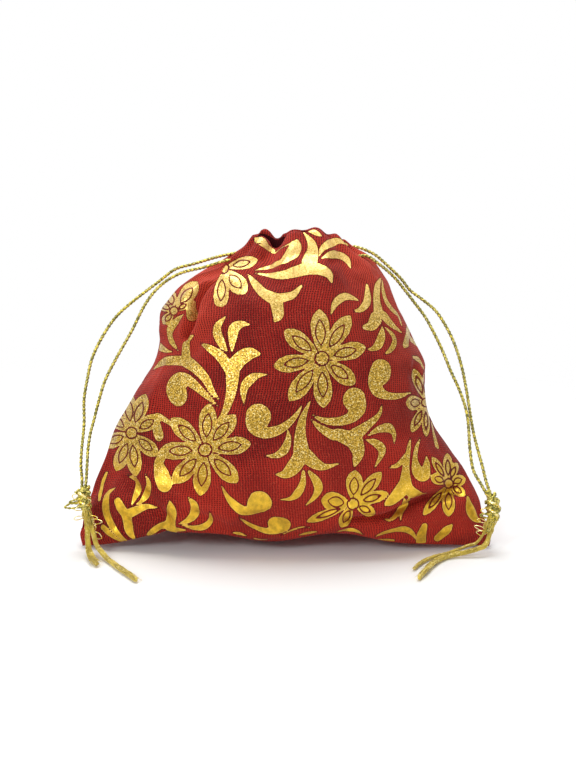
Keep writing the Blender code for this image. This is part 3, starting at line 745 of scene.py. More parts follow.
def drawn_cloth(u, v):
    """The cloth before its folds: u runs once round from the left edge, v counts sections."""
    rows = np.array(SECTIONS)
    last = len(rows) - 1
    low = np.clip(np.floor(v).astype(int), 0, last - 1)
    t = (v - low)[:, None]
    a, b, c, d = (rows[np.clip(low + k, 0, last)] for k in (-1, 0, 1, 2))
    row = curve_at(t, a, b, c, d)
    left, right, edge_y, edge_z, front_y, front_z, back_y, back_z, pointed = row.T
    angle = 2 * math.pi * u - math.pi / 2
    across, ahead = np.sin(angle), np.cos(angle)
    reach = np.abs(ahead) ** pointed
    is_front = ahead > 0
    x = (left + right) / 2 + (right - left) / 2 * across
    y = edge_y + (np.where(is_front, front_y, back_y) - edge_y) * reach
    z = edge_z + (np.where(is_front, front_z, back_z) - edge_z) * reach
    near_seam = np.where(is_front, np.clip(1 - v / 1.2, 0, 1) ** 2, np.clip(1 - (v / 2.4) ** 2, 0, 1))
    for middle, half_width, height in SEAM_ARCHES:
        z = z + near_seam * height * hump(x, middle, half_width)
    near_rim = np.interp(v - RIM, [-2.5, -1, 0, 1, 2, 3], [0, 0.5, 1, 1, 0.2, 0])
    for middle, half_width, height in RIM_LOBES:
        z = z + near_rim * height * hump(x, middle, half_width)
    z = z - near_rim * RIM_DIP[2] * hump(x, *RIM_DIP[:2]) * np.clip(ahead, 0, 1)
    for middle, half_width, height in BACK_PLEATS:
        z = z + near_rim * height * hump(x, middle, half_width) * np.clip(-ahead, 0, 1)
    return on_bag(np.stack([x, y, z], axis=1))


def off_span(points, start, end):
    """How far the points are from a straight span, and the share of it that each is beside."""
    run = end - start
    t = np.clip((points - start) @ run / (run @ run), 0, 1)
    return np.linalg.norm(points - start - t[:, None] * run, axis=1), t


def distance_to(points, line):
    best = np.full(len(points), np.inf)
    for start, end in zip(line[:-1], line[1:]):
        best = np.minimum(best, off_span(points, start, end)[0])
    return best


def outward(u, v):
    """The drawn cloth's outward direction."""
    step, last = 1e-3, len(SECTIONS) - 1
    round_it = drawn_cloth(u + step, v) - drawn_cloth(u - step, v)
    up_it = drawn_cloth(u, np.minimum(v + step, last)) - drawn_cloth(u, np.maximum(v - step, 0))
    out = np.cross(round_it, up_it)
    return out / np.maximum(np.linalg.norm(out, axis=1), 1e-12)[:, None]


def caster(points, faces):
    """A function that finds the places on a net under picture pixels."""
    seen_net = BVHTree.FromPolygons([tuple(p) for p in points], faces)

    def cast(spots, behind=False):
        found = []
        turn = HALF_TURN if behind else 1
        for across, down in spots:
            way = LOOKING + (across - PICTURE_WIDTH / 2) / FOCAL_PIXELS * np.array([1.0, 0, 0])
            way = way - (down - PICTURE_HEIGHT / 2) / FOCAL_PIXELS * UPWARD
            hit = seen_net.ray_cast(Vector(CAMERA_PLACE * turn), Vector(way * turn).normalized())[0]
            found.append(None if hit is None else np.array(hit))
        return found

    return cast


def all_folds():
    """Every fold as a line on the drawn cloth, with its depth and width."""
    folds = [(on_bag(route), deep, wide) for route, deep, wide in FOLDS]
    u, v, faces, _ = net(160, 90)
    cast = caster(drawn_cloth(u, v), faces)
    for route, deep, wide in SEEN_FOLDS:
        hits = cast(smooth_line(route, FOLD_STEP, 6))
        folds.append((np.array([hit for hit in hits if hit is not None]), deep, wide))
    return folds


def folded_cloth(u, v):
    """The cloth's surface with its creases, ridges and hem pleats, flat where it stands."""
    points = drawn_cloth(u, v)
    depth = np.zeros(len(u))
    for line, deep, wide in folds:
        depth += deep * np.exp(-((distance_to(points, line) / wide) ** 2))
    pleated = np.interp(v - RIM, [-4, -1, 1, 2], [0, 1, 1, 0])
    depth += PLEAT_DEPTH * pleated * np.cos(2 * math.pi * HEM_PLEATS * u)
    depth *= np.clip(v / 0.6, 0, 1) * np.clip(len(SECTIONS) - 1 - v, 0, 1)
    points = points - depth[:, None] * outward(u, v)
    points[:, 2] = np.maximum(points[:, 2], CLOTH_RESTS)
    return points


print("the front of the loft's rim is at", drawn_cloth(np.array([0.25]), np.array([float(RIM)]))[0].round(4))

# %% [markdown]
# One net of points serves both for the simulation and for the final cloth, coarse for one
# and fine for the other. The front has more columns than the back, since the print is
# seen there, and the rows are spaced evenly over the cloth, not over the sections.

# %% The net over the pouch
WAIST = 3.6  # the height, in sections, where the columns are spaced evenly
FINE_U, FINE_V = np.linspace(0, 0.5, 600), np.linspace(0, len(SECTIONS) - 1, 900)
LEAST_STEP = 0.00002  # keeps rows apart even where the cloth turns in one place


def even_steps(count, places, along):
    return np.interp(np.linspace(0, along[-1], count + 1), along, places)


def net(front_columns, rows):
    """Vertex (u, v), faces and the index table of a closed net with half the columns behind."""
    run = run_along(drawn_cloth(FINE_U, np.full(len(FINE_U), WAIST)))
    half = even_steps(front_columns // 2, FINE_U, run)
    front = np.interp(np.arange(front_columns + 1) / 2, np.arange(len(half)), half)
    behind = 1 - half[::-1][1:-1]
    us = np.concatenate([front, behind])
    rise = run_along(drawn_cloth(np.full(len(FINE_V), 0.25), FINE_V), more=LEAST_STEP)
    vs = even_steps(rows, FINE_V, rise)
    grid_u, grid_v = np.meshgrid(us, vs)
    wide, last = len(us), len(us) * (rows + 1)
    table = np.arange(last).reshape(rows + 1, wide)
    for k in range(1, front_columns // 2):
        table[0, front_columns + k] = table[0, front_columns - 2 * k]
    faces = []
    for j in range(rows):
        for i in range(wide):
            after = (i + 1) % wide
            face = [table[j, i], table[j, after], table[j + 1, after], table[j + 1, i]]
            if j == 0 and i >= front_columns:
                start = front_columns - 2 * (i - front_columns)
                face.insert(1, table[0, start - 1])
            faces.append(tuple(int(k) for k in face))
    us_all, vs_all = np.append(grid_u, 0.0), np.append(grid_v, float(len(SECTIONS) - 1))
    faces += [(int(table[rows, i]), int(table[rows, (i + 1) % wide]), last) for i in range(wide)]
    return us_all, vs_all, faces, table


def with_pit_floor(points, table):
    points[-1] = points[table[-1]].mean(axis=0)
    return points


folds = all_folds()
print(len(folds), "folds")

# %% [markdown]
# Wrinkles come from a cloth simulation, which is what stuffed cloth really does: it is a
# little too big for its filling, held at the hem and the seam, and it buckles. A coarse
# net of the pouch is blown up gently from inside. Only its buckling is kept, taken along
# the surface's own direction, so the pouch keeps the outline that the solid has.

# %% Simulated wrinkles
SIMULATED_COLUMNS, SIMULATED_ROWS = 150, 84
SIMULATED_FRAMES = 26
WRINKLE_LIMIT = 0.0022
WRINKLE_GAIN = 1.6
CLOTH_VALUES = {
    "quality": 6, "mass": 0.12, "tension_stiffness": 12, "compression_stiffness": 12,
    "shear_stiffness": 6, "bending_stiffness": 0.06, "shrink_min": -0.045,
    "use_pressure": True, "uniform_pressure_force": 3.0, "vertex_group_mass": "held",
}


def smoothed(values, rounds):
    """A field on the net, blurred round it and up it."""
    for _ in range(rounds):
        values = (np.roll(values, 1, axis=1) + 2 * values + np.roll(values, -1, axis=1)) / 4
        padded_rows = np.vstack([values[:1], values, values[-1:]])
        values = (padded_rows[:-2] + 2 * padded_rows[1:-1] + padded_rows[2:]) / 4
    return values


def simulated_wrinkles():
    """How far the blown-up cloth buckles outward, on the coarse net."""
    u, v, faces, table = net(SIMULATED_COLUMNS, SIMULATED_ROWS)
    rest = with_pit_floor(folded_cloth(u, v), table)
    mesh = bpy.data.meshes.new("blown_cloth")
    mesh.from_pydata([tuple(p) for p in rest], [], faces)
    blown = in_scene("blown_cloth", mesh)
    held = blown.vertex_groups.new(name="held")
    at_seam_or_neck = (v > RIM - 0.8) | (v < 0.02)
    on_underside = (v > 1.2) & (v < 3.2) & (u > 0.55) & (u < 0.95)
    held.add(np.flatnonzero(at_seam_or_neck | on_underside).tolist(), 1.0, "REPLACE")
    soft = blown.modifiers.new("Cloth", "CLOTH")
    for name, value in CLOTH_VALUES.items():
        setattr(soft.settings, name, value)
    soft.settings.effector_weights.gravity = 0
    soft.collision_settings.use_collision = False
    scene = bpy.context.scene
    scene.frame_start, scene.frame_end = 1, SIMULATED_FRAMES
    for number in range(1, SIMULATED_FRAMES + 1):
        scene.frame_set(number)
        bpy.context.view_layer.update()
    read = blown.evaluated_get(bpy.context.evaluated_depsgraph_get()).to_mesh()
    after = np.empty(3 * len(read.vertices))
    read.vertices.foreach_get("co", after)
    moved = ((after.reshape(-1, 3) - rest) * outward(u, v)).sum(axis=1)[:-1].reshape(table.shape)
    scene.frame_set(1)
    bpy.data.objects.remove(blown)
    moved[0] = 0
    buckled = moved - smoothed(moved, 40)
    print("buckled by up to", round(1000 * float(np.abs(buckled).max()), 2), "mm, swelled by",
          round(1000 * float(moved.max()), 2), "mm")
    return u[:-1].reshape(table.shape)[0], v[:-1].reshape(table.shape)[:, 0], smoothed(buckled, 1)


wrinkles = simulated_wrinkles()


def wrinkle_at(u, v):
    """The simulated buckling at any (u, v), held under a limit."""
    if wrinkles is None:
        return np.zeros(len(u))
    us, vs, field = wrinkles
    us, field = np.append(us, 1), np.hstack([field, field[:, :1]])
    i = np.clip(np.searchsorted(us, u, side="right") - 1, 0, len(us) - 2)
    j = np.clip(np.searchsorted(vs, v, side="right") - 1, 0, len(vs) - 2)
    s, t = (u - us[i]) / (us[i + 1] - us[i]), (v - vs[j]) / (vs[j + 1] - vs[j])
    low = field[j, i] * (1 - s) + field[j, i + 1] * s
    high = field[j + 1, i] * (1 - s) + field[j + 1, i + 1] * s
    return WRINKLE_LIMIT * np.tanh(WRINKLE_GAIN * (low * (1 - t) + high * t) / WRINKLE_LIMIT)


print("wrinkles", "simulated" if wrinkles else "left out in the quick look")

# %% [markdown]
# The final cloth reads the loft on a fine net and adds the buckling. It stays calm where
# a drawcord lies on it and where the pouch stands.

# %% The cloth
CLOTH_COLUMNS, CLOTH_ROWS = 344, 186
UNDER_CORD, CALM_REACH = 0.0015, 0.006  # no wrinkles this near a cord, and all of them so far past it
cloth_u, cloth_v, cloth_faces, cloth_table = net(CLOTH_COLUMNS, CLOTH_ROWS)
cloth_points = folded_cloth(cloth_u, cloth_v)
near_cord = np.full(len(cloth_points), np.inf)
for line, _, _ in routes.values():
    near_cord = np.minimum(near_cord, distance_to(cloth_points, line[::30]))
calm = np.clip((near_cord - UNDER_CORD) / CALM_REACH, 0, 1)
calm *= np.clip((RIM + 1 - cloth_v) / 1.5, 0, 1) * np.clip(cloth_v / 0.8, 0, 1)
wrinkle = wrinkle_at(cloth_u, cloth_v) * calm
cloth_points = cloth_points + wrinkle[:, None] * outward(cloth_u, cloth_v)
cloth_points[:, 2] = np.maximum(cloth_points[:, 2], CLOTH_RESTS)
cloth_points = with_pit_floor(cloth_points, cloth_table)
print("cloth", len(cloth_faces), "faces, wrinkles up to", round(1000 * float(np.abs(wrinkle).max()), 2), "mm")

# %% [markdown]
# The print is a traditional floral one: round flowers of eight pointed petals, with
# curved stems, paired leaves and drop-shaped commas between them. Each motif is drawn in
# the picture's pixels as a soft brush line of changing half width, and cast from the
# camera onto the cloth. What is stored on the cloth is how deep inside a motif each point
# is, so the shader can cut a sharp edge, and nothing is painted as a picture.

# %% Motifs: each is one or more brush lines of (across, down, half width), in pixels
MOTIFS = [
    # left trident with its two leaves
    [
        ((220, 400.3, 0.4), (212.4, 391.7, 2.6), (205.5, 378.7, 4.3), (196, 368.4, 5.2), (186.6, 361.5, 6)),
        ((184, 361, 5.5), (178, 360.7, 5.2), (167.7, 360.7, 5), (160.8, 363.2, 3.6), (153.4, 369.3, 0.6)),
        ((186, 358, 5.6), (185.7, 348.6, 5.2), (187.3, 340.4, 3.6), (193.3, 335.2, 0.6)),
        ((183.4, 314.5, 0.4), (176, 321.5, 3.4), (170, 330, 4.3), (171, 340, 3.3), (178.2, 350.7, 0.4)),
        ((155.5, 333, 2), (156, 341.7, 4), (160.5, 347, 3.6), (166, 350.5, 2), (172.8, 351.6, 0.4)),
    ],
    # left middle trident and crescent
    [
        ((216.9, 421.4, 0.5), (224.6, 412.3, 3), (230.5, 395, 4.8), (232.4, 378.7, 6.5), (232, 366, 7.5)),
        ((232, 372, 6), (221, 357, 5), (209, 348, 3.2), (200.4, 343.4, 0.4)),
        ((232, 370, 7), (239, 360, 7.5), (248, 354, 6.5), (255, 353.5, 3.6), (260.8, 354.8, 0.6)),
        ((225.6, 316.3, 0.4), (217, 328.3, 4.3), (221.3, 343, 4), (227.3, 351.6, 0.5)),
        ((249.7, 324.9, 0.5), (241.9, 324, 3.2), (234.2, 328.3, 5.5), (232.5, 339.5, 4), (232, 351.6, 0.5)),
        ((244, 405, 0.3), (244, 388.2, 4), (251.3, 378.7, 4.5), (259.1, 375.3, 2.2), (268.1, 374.9, 0.4)),
    ],
    # trident under the middle flower
    [
        ((310.3, 400.7, 0.4), (303, 417.5, 3.2), (300.4, 434.7, 5.4), (301.3, 451.9, 8)),
        ((301, 456, 7.5), (292.7, 468.2, 7), (284.9, 474.2, 4.2), (275.4, 474.2, 0.5)),
        ((303, 454, 7.5), (307.3, 457, 7), (315.9, 463.9, 5.5), (325.4, 466.9, 3), (339.1, 463.5, 0.5)),
        ((287.9, 429.5, 0.4), (288.3, 439.9, 3), (284, 450.2, 4.3), (276.3, 455.4, 2.8), (264.7, 456.2, 0.5)),
        ((303.4, 471.7, 1.5), (302.6, 483.7, 3.2), (297, 494, 4), (290, 498.8, 2.2), (280.6, 499.6, 0.4)),
        ((309, 471.7, 1.5), (315.9, 480.3, 4), (318.5, 488.9, 4.2), (314.2, 497.5, 2.6), (306, 505.2, 0.5)),
    ],
    # right middle trident
    [
        ((311.2, 419.6, 0.4), (320.2, 427.8, 3), (332.3, 434.7, 5), (338.6, 434.7, 6), (352.4, 439.9, 8)),
        ((354, 436, 7), (364.4, 427.8, 4.8), (373.9, 420.1, 3.3), (379.9, 413.2, 2), (381.7, 405.4, 0.6)),
        ((355.8, 443.3, 8), (358.4, 451.9, 6.2), (356.7, 459.7, 4), (354.5, 466.6, 0.8)),
        ((367.9, 435.6, 0.5), (378.2, 429.5, 3.2), (388.5, 427.8, 4.6), (393.7, 433, 3), (394.1, 443.3, 0.4)),
        ((365.7, 439.9, 0.5), (374.8, 442.5, 3.4), (381.7, 448.5, 4.2), (380.8, 456.2, 2.6),
         (374.8, 467.4, 0.5)),
    ],
    # right shoulder trident and crescents
    [
        ((380.6, 278, 0.6), (377.5, 287, 3.8), (376.7, 299, 4.3), (378.4, 311.1, 6.5)),
        ((375.8, 318.8, 7), (371.5, 325.7, 5), (364.2, 327.4, 2.2)),
        ((384.4, 316.3, 5.5), (391.3, 324, 4), (401.7, 332.6, 0.6)),
        ((382.3, 326.6, 0.5), (381.9, 335.2, 3.9), (378.4, 344.7, 4.2), (372.4, 349, 2), (367.6, 349, 0.8)),
        ((385.3, 327.5, 0.5), (392.2, 334.3, 2.6), (394.8, 341.2, 3.2), (391.3, 349, 2.6),
         (384.9, 354.1, 0.6)),
        ((366.9, 284.4, 0.8), (367.8, 295.6, 3.6), (366.9, 302.5, 3.9), (360.9, 309.4, 2.8),
         (354, 311.1, 0.8)),
        ((382.3, 280.1, 0.4), (383.1, 290.4, 2.4), (386.2, 300.8, 3.2), (392.2, 309.4, 3.2),
         (398.2, 315.4, 2.6), (401.7, 325.7, 0.8)),
    ],
    # leaves at the right edge, lone crescent
    [
        ((409, 323, 1.5), (408, 332, 4.5), (406.5, 341, 5.5), (404, 346, 2)),
        ((410, 338, 4), (416, 344, 3), (421.5, 347, 0.6)),
    ],
    [((413, 357, 1.2), (419, 360, 2.6), (423, 367, 2.4))],
    [((431.6, 422.6, 1.2), (434, 434, 2.5), (436.8, 446, 3))],
    [((330.8, 314.1, 0.5), (335.9, 302.5, 3.4), (344.5, 296.5, 3.9), (351.4, 297.3, 3), (357.5, 299.9, 1))],
    # stem below the mouth
    [
        ((255, 273.2, 0.5), (267.9, 274.9, 2.6), (282.6, 274.9, 4.8), (296.3, 271.5, 6), (308.4, 268, 7.5)),
        ((312, 268, 7.5), (318.7, 268.9, 6.6), (328.2, 273.2, 5), (331.6, 281.8, 1.2)),
        ((309, 266, 7.5), (310.1, 259.4, 7.5), (312.7, 250.8, 5.4), (311, 242.2, 3.6), (304.1, 232.7, 0.6)),
        ((319.1, 256, 0.4), (323, 248.2, 3), (330.8, 243.1, 4.2), (339.4, 240.9, 2.7), (348.8, 245.7, 0.4)),
        ((321.3, 258.6, 0.4), (329, 255.1, 3.2), (337.7, 254.7, 4.2), (346.3, 259.4, 3.4), (350.6, 268, 0.4)),
        ((255, 270, 0.4), (268, 267.5, 2.6), (280, 262.5, 4.8), (290, 255, 7), (295.5, 247, 6.2),
         (297, 241, 2)),
    ],
    # stem by the deep crease
    [
        ((248, 274, 0.5), (254.8, 283.5, 3.5), (263.6, 293, 4.8), (275.7, 299, 7)),
        ((276, 299, 6), (284.3, 297.3, 4.8), (292.9, 294.7, 3.6), (301.5, 285.7, 1)),
        ((276, 300, 6.5), (277.4, 307.7, 6), (278.2, 315.4, 5), (274.8, 320.6, 1.5)),
    ],
    # left corner
    [
        ((135, 540, 1), (129.5, 531, 4), (128, 521, 5), (126, 514, 5.5)),
        ((126, 515, 5), (121, 508, 5), (117.5, 501.5, 4)),
        ((128, 514, 5), (137, 510, 4), (147, 506.5, 2.6), (158.6, 507.8, 0.4)),
        ((127.2, 475.1, 0.4), (136.7, 480.3, 3), (138.4, 488.9, 3.8), (134.9, 497.5, 2.4),
         (131.5, 505.2, 0.5)),
        ((145.3, 474.2, 0.4), (148.7, 483.7, 2.6), (147, 493.2, 3.8), (141.8, 500.9, 2), (135.4, 504.8, 0.4)),
        ((115.1, 488, 0.5), (107.4, 494, 3.6), (105.7, 505.2, 4.2), (107.4, 515.6, 3.8), (114.3, 529.3, 3),
         (122, 538, 2), (129.8, 541.8, 0.5)),
        ((103, 527, 2.5), (110, 534, 2.6), (118, 539.5, 2), (128, 543, 0.5)),
        ((106.5, 473, 1.5), (103, 482, 2.2), (100.5, 492, 2.4), (99.5, 500, 1.6)),
    ],
    # bottom leaf and crescents
    [
        ((169.8, 500.5, 0.4), (171.1, 511.3, 5.4), (171.1, 523.3, 6.5), (171.1, 530, 6)),
        ((144.5, 538.8, 0.8), (152, 532, 3), (160, 526.5, 3.6), (166, 525, 4)),
        ((172, 529, 3), (182, 530, 1.6), (186, 530, 0.4)),
        ((187.9, 497.1, 0.4), (194.3, 505.2, 3.8), (194.3, 513.8, 4.6), (187.5, 520.7, 2.8),
         (178.8, 523.7, 0.4)),
        ((209.8, 511.7, 0.4), (210.7, 519.9, 2.4), (205.5, 525.9, 3.2), (195.2, 528, 2.4),
         (180.6, 524.6, 0.4)),
    ],
    # right lower trident
    [
        ((410.5, 438.5, 0.5), (409, 447, 2), (407.5, 456, 2.8), (406, 466, 3.6), (405.5, 476, 5),
         (405.5, 485, 6.5)),
        ((408.5, 452, 1.8), (403, 460, 2.8), (397, 465.5, 2.4), (389.8, 467.2, 0.8)),
        ((404, 487, 7), (398, 494, 6), (391, 501, 4.4), (385.5, 504.3, 1.5)),
        ((407, 488, 6), (413, 493, 5.4), (420, 494.5, 3), (427.3, 493, 0.5)),
        ((420.4, 438.1, 0.4), (416.5, 448, 2), (415, 460, 3), (417, 470, 5.5), (422, 475.5, 6.8),
         (425.5, 470, 5.4), (426.8, 463, 3.4), (426.4, 456.2, 0.5)),
        ((404.5, 500, 1.5), (402, 507, 3), (397, 514, 2.6), (391, 519.5, 1.8), (382.5, 519.6, 0.4)),
        ((408, 500, 2.5), (404, 508, 2), (401, 515, 1.2), (400.5, 521.5, 0.3)),
    ],
    # drop-shaped commas
    [((354.5, 399.8, 12), (357.5, 408, 8.5), (352, 416.5, 5.8), (341, 421, 4.4), (328.8, 421.4, 3.4),
      (320, 419, 2), (312.5, 414.9, 0.4))],
    [((381.7, 371.4, 12.3), (375.5, 381, 8.2), (377.5, 390, 6.6), (387, 395.5, 3.8), (398.9, 396, 2.7),
      (410.9, 392.8, 0.4))],
    [((258.2, 416.6, 12.7), (256, 426, 8.8), (265.1, 432.6, 6), (278, 430.2, 4.6), (289.2, 422.7, 3.2),
      (297, 414, 2), (301.7, 405.9, 0.4))],
    [((259.5, 503.1, 12.3), (251.3, 511.3, 5.6), (241.9, 510.4, 5), (233.2, 503.5, 3.8), (226.4, 494.9, 2.2),
      (221.2, 485, 0.4))],
    [
        ((276, 523.7, 8.2), (279, 523.7, 8.2), (282.5, 523.7, 8.2)),
        ((283, 526, 7), (276, 530.5, 4), (266, 530.8, 3), (256, 527.5, 2.3), (247, 523, 1.8),
         (238.8, 517.3, 0.4)),
    ],
    [((177.5, 395, 11.2), (175.5, 386.5, 11.3), (179, 379.5, 7.5), (187, 379.8, 5.6), (195.2, 385.6, 4.3),
      (205.5, 395.1, 2.8), (218.9, 406.7, 0.4))],
    [((159, 435, 6), (157, 428, 5.8), (155.5, 420, 3.4), (157, 415.8, 2.8), (163, 418.6, 2.6),
      (170, 423.5, 1.8), (177, 430.3, 0.4))],
    [((164.5, 484, 8), (161.5, 475, 7.6), (158.8, 465, 5.4), (161.5, 457.5, 4), (168, 452.6, 2.8),
      (175, 451.8, 2), (181.2, 455.3, 0.4))],
    [((192.5, 315, 6.2), (191.5, 308, 5), (193, 303, 3))],
]
# small pieces that only fit where they are: on the gathered rim and along the front seam
EDGE_MOTIFS = [
    # patches on the gathered rim, hem line
    [((303, 228.5, 1), (311, 230.5, 2.6), (317, 233.5, 2.5), (321.5, 236, 0.8))],
    [((255, 239, 1.5), (262, 240, 4), (267, 246, 3), (274, 251, 1.5))],
    [((255, 241.4, 0.9), (263.6, 246.5, 0.9), (274, 253, 0.9), (280.8, 248.2, 0.9), (293.7, 241.4, 0.8))],
    # strip along the bottom seam
    [((375, 536.5, 0.4), (385, 532.5, 2), (396, 530, 3.2), (405.5, 529.5, 3.4), (412, 533, 2.6),
      (416.1, 539.5, 0.4))],
    [((337, 531.5, 0.4), (346, 530, 1.8), (355, 530.5, 1.8), (363, 534.5, 0.4))],
    [((378, 539.5, 1), (386, 540, 1.8), (393.5, 540.5, 1.5))],
    [((424.5, 526, 3), (421.5, 535, 4.8), (421, 542, 5))],
    [((451.5, 525.5, 1.5), (446, 531, 4.6), (438, 538, 4))],
    [((468, 498, 2), (470, 508, 5), (474, 516, 5), (480, 521, 2))],
    [((233, 532.5, 0.8), (239, 533.5, 1.6), (246, 535.5, 0.8))],
    [((254, 538.5, 1), (260, 539.5, 1.6), (267, 539.5, 0.8))],
    [((281, 535.3, 0.4), (291, 530.5, 1), (301, 527.3, 1), (310, 527.5, 0.4))],
    [((299.5, 535, 0.8), (308, 533, 1.6), (316, 531.8, 0.8))],
]
# flowers: the middle, then each petal's tip and half width
FLOWERS = [
    ((353, 504), (355, 470, 8.3), (381.6, 472, 6.6), (388.6, 493, 5.8), (375.3, 514, 5.8),
     (340.8, 527.5, 6.0), (306.4, 521.8, 4.6), (321, 500, 9.6)),
    ((425.6, 402.5), (405.9, 403.2, 7.4), (411.6, 432.5, 4.8), (426.3, 437, 3.8), (433.3, 419, 2.8),
     (413.5, 368.5, 5.0), (426, 370, 3.6)),
    ((448.6, 483.5), (432, 456.7, 4), (447.3, 452.9, 4.6), (457, 462, 4.2), (465.8, 478.4, 5.5),
     (465.2, 495.6, 5), (448.6, 516.7, 6.4), (423.1, 515.4, 4.8), (430.7, 475.9, 5.7)),
    ((321.8, 358.6), (319.1, 309, 9.4), (350.3, 315.3, 8.8), (366, 346.8, 8.6), (355.3, 384.0, 8.8),
     (323.5, 408, 9.4), (289, 401, 9.2), (273.3, 366.3, 8.6), (284.3, 330, 9.0)),
]
# whole flowers: the middle, radius, turn in degrees, and how narrow each is seen
WHOLE_FLOWERS = [((205.1, 449.8), 46.5, -8, 1.0), ((131.5, 433), 44, 6, 0.70)]
PETAL_TIPS = (93, 57, 16, -37, -88, -126, -170, 145)
for (across, down), radius, turn, narrow in WHOLE_FLOWERS:
    angles = [math.radians(tip + turn) for tip in PETAL_TIPS]
    tips = [(across + narrow * radius * math.cos(a), down - radius * math.sin(a)) for a in angles]
    FLOWERS.append(((across, down), *[(x, y, 0.19 * radius * (0.6 + 0.4 * narrow)) for x, y in tips]))
# two flowers that the deep crease cuts; +1 shows to its right and -1 to its left
CUT_FLOWERS = [
    (((223, 268), (258, 259.7, 6.2), (246.1, 293.4, 9.2), (220.1, 310.2, 7.6)), 1),
    (((174, 311), (197.5, 281.5, 8.0), (168, 288, 6), (190, 302.5, 4), (163, 324, 5), (158, 303, 5)), -1),
]
CREASE_SEEN = ((226, 264), (191, 318))
print(len(MOTIFS) + len(EDGE_MOTIFS), "brushed motifs,", len(FLOWERS) + len(CUT_FLOWERS), "flowers")

# %% Casting from the camera onto the cloth
cast = caster(cloth_points, cloth_faces)
# The back takes the front's motifs moved along. The first move is laid whole, and each
# later one adds only the motifs that find clear cloth.
BACK_MOVES = (
    (70, -46), (-73, -92), (101, 101), (213, 0), (-42, 55), (39, -193), (182, -147), (-104, -239),
    *((across, down) for across in range(-160, 161, 80) for down in range(-140, 141, 70)),
)
CLEAR_CLOTH = 0.0003  # red cloth kept between motifs on the back


def turned(places, behind):
    return places * HALF_TURN if behind else places


def pixel_size(place, behind):
    return ((turned(place, behind) - CAMERA_PLACE) @ LOOKING) / FOCAL_PIXELS


print("casting ready")

# %% Depth inside the motifs
NOT_PRINTED = -0.003
LONGEST_SPAN = 0.006  # a brush line that jumps further has crossed a crease
foil = np.full(len(cloth_points), NOT_PRINTED)
petal_line = np.full(len(cloth_points), NOT_PRINTED)
front_side = (cloth_u <= 0.5) & (cloth_v < RIM + 1.2) & (cloth_v > 0.05)
back_side = ((cloth_u >= 0.5) | (cloth_u == 0)) & (cloth_v < RIM + 0.8) & (cloth_v > 2.2)


def printable(behind):
    return np.flatnonzero(back_side if behind else front_side)


def lay_brush(onto, brush, behind, shift):
    """Lays one brush line; returns whether all of it landed."""
    line = np.array(brush, float) + (*shift, 0)
    line = smooth_line(line, BRUSH_STEP, 6) if len(brush) > 2 else line
    hits = cast(line[:, :2], behind)
    kept = [(hit, spot[2]) for hit, spot in zip(hits, line) if hit is not None]
    if len(kept) < 2 or (behind and len(kept) < len(hits)):
        return False
    places = np.array([hit for hit, _ in kept])
    sizes = np.array([half * pixel_size(hit, behind) for hit, half in kept])
    near = printable(behind)
    room = sizes.max() - NOT_PRINTED
    low, high = places.min(axis=0) - room, places.max(axis=0) + room
    near = near[((cloth_points[near] > low) & (cloth_points[near] < high)).all(axis=1)]
    spots = cloth_points[near]
    best = np.full(len(near), NOT_PRINTED)
    for i in range(len(places) - 1):
        if not 0 < np.linalg.norm(places[i + 1] - places[i]) <= LONGEST_SPAN:
            continue
        away, t = off_span(spots, places[i], places[i + 1])
        best = np.maximum(best, sizes[i] + t * (sizes[i + 1] - sizes[i]) - away)
    onto[near] = np.maximum(onto[near], best)
    return True


def lay_motif(motif, behind=False, shift=(0, 0), clear=False):
    """Lays a motif; behind, only if all of it lands, and if asked, on clear cloth."""
    onto = np.full(len(cloth_points), NOT_PRINTED)
    landed = [lay_brush(onto, brush, behind, shift) for brush in motif]
    if behind and not all(landed) or clear and (np.minimum(foil, onto) > -CLEAR_CLOTH).any():
        return False
    np.maximum(foil, onto, out=foil)
    return any(landed)


FLOWER_HEART, HEART_RING = 0.115, 0.03  # of a petal's length
# places along a petal and its width there, as shares of its length and of its half width
PETAL_WIDTHS = (
    (-0.1, 0.05, 0.15, 0.3, 0.5, 0.7, 0.85, 0.95, 1.0, 1.2),
    (-1.5, -0.5, 0.26, 0.64, 0.92, 1.0, 0.76, 0.36, 0.0, -1.5),
)
LOOP_MIDDLE, LOOP_REACH, LOOP_WIDTH = 0.53, 0.26, 0.52  # of the loop inside each petal


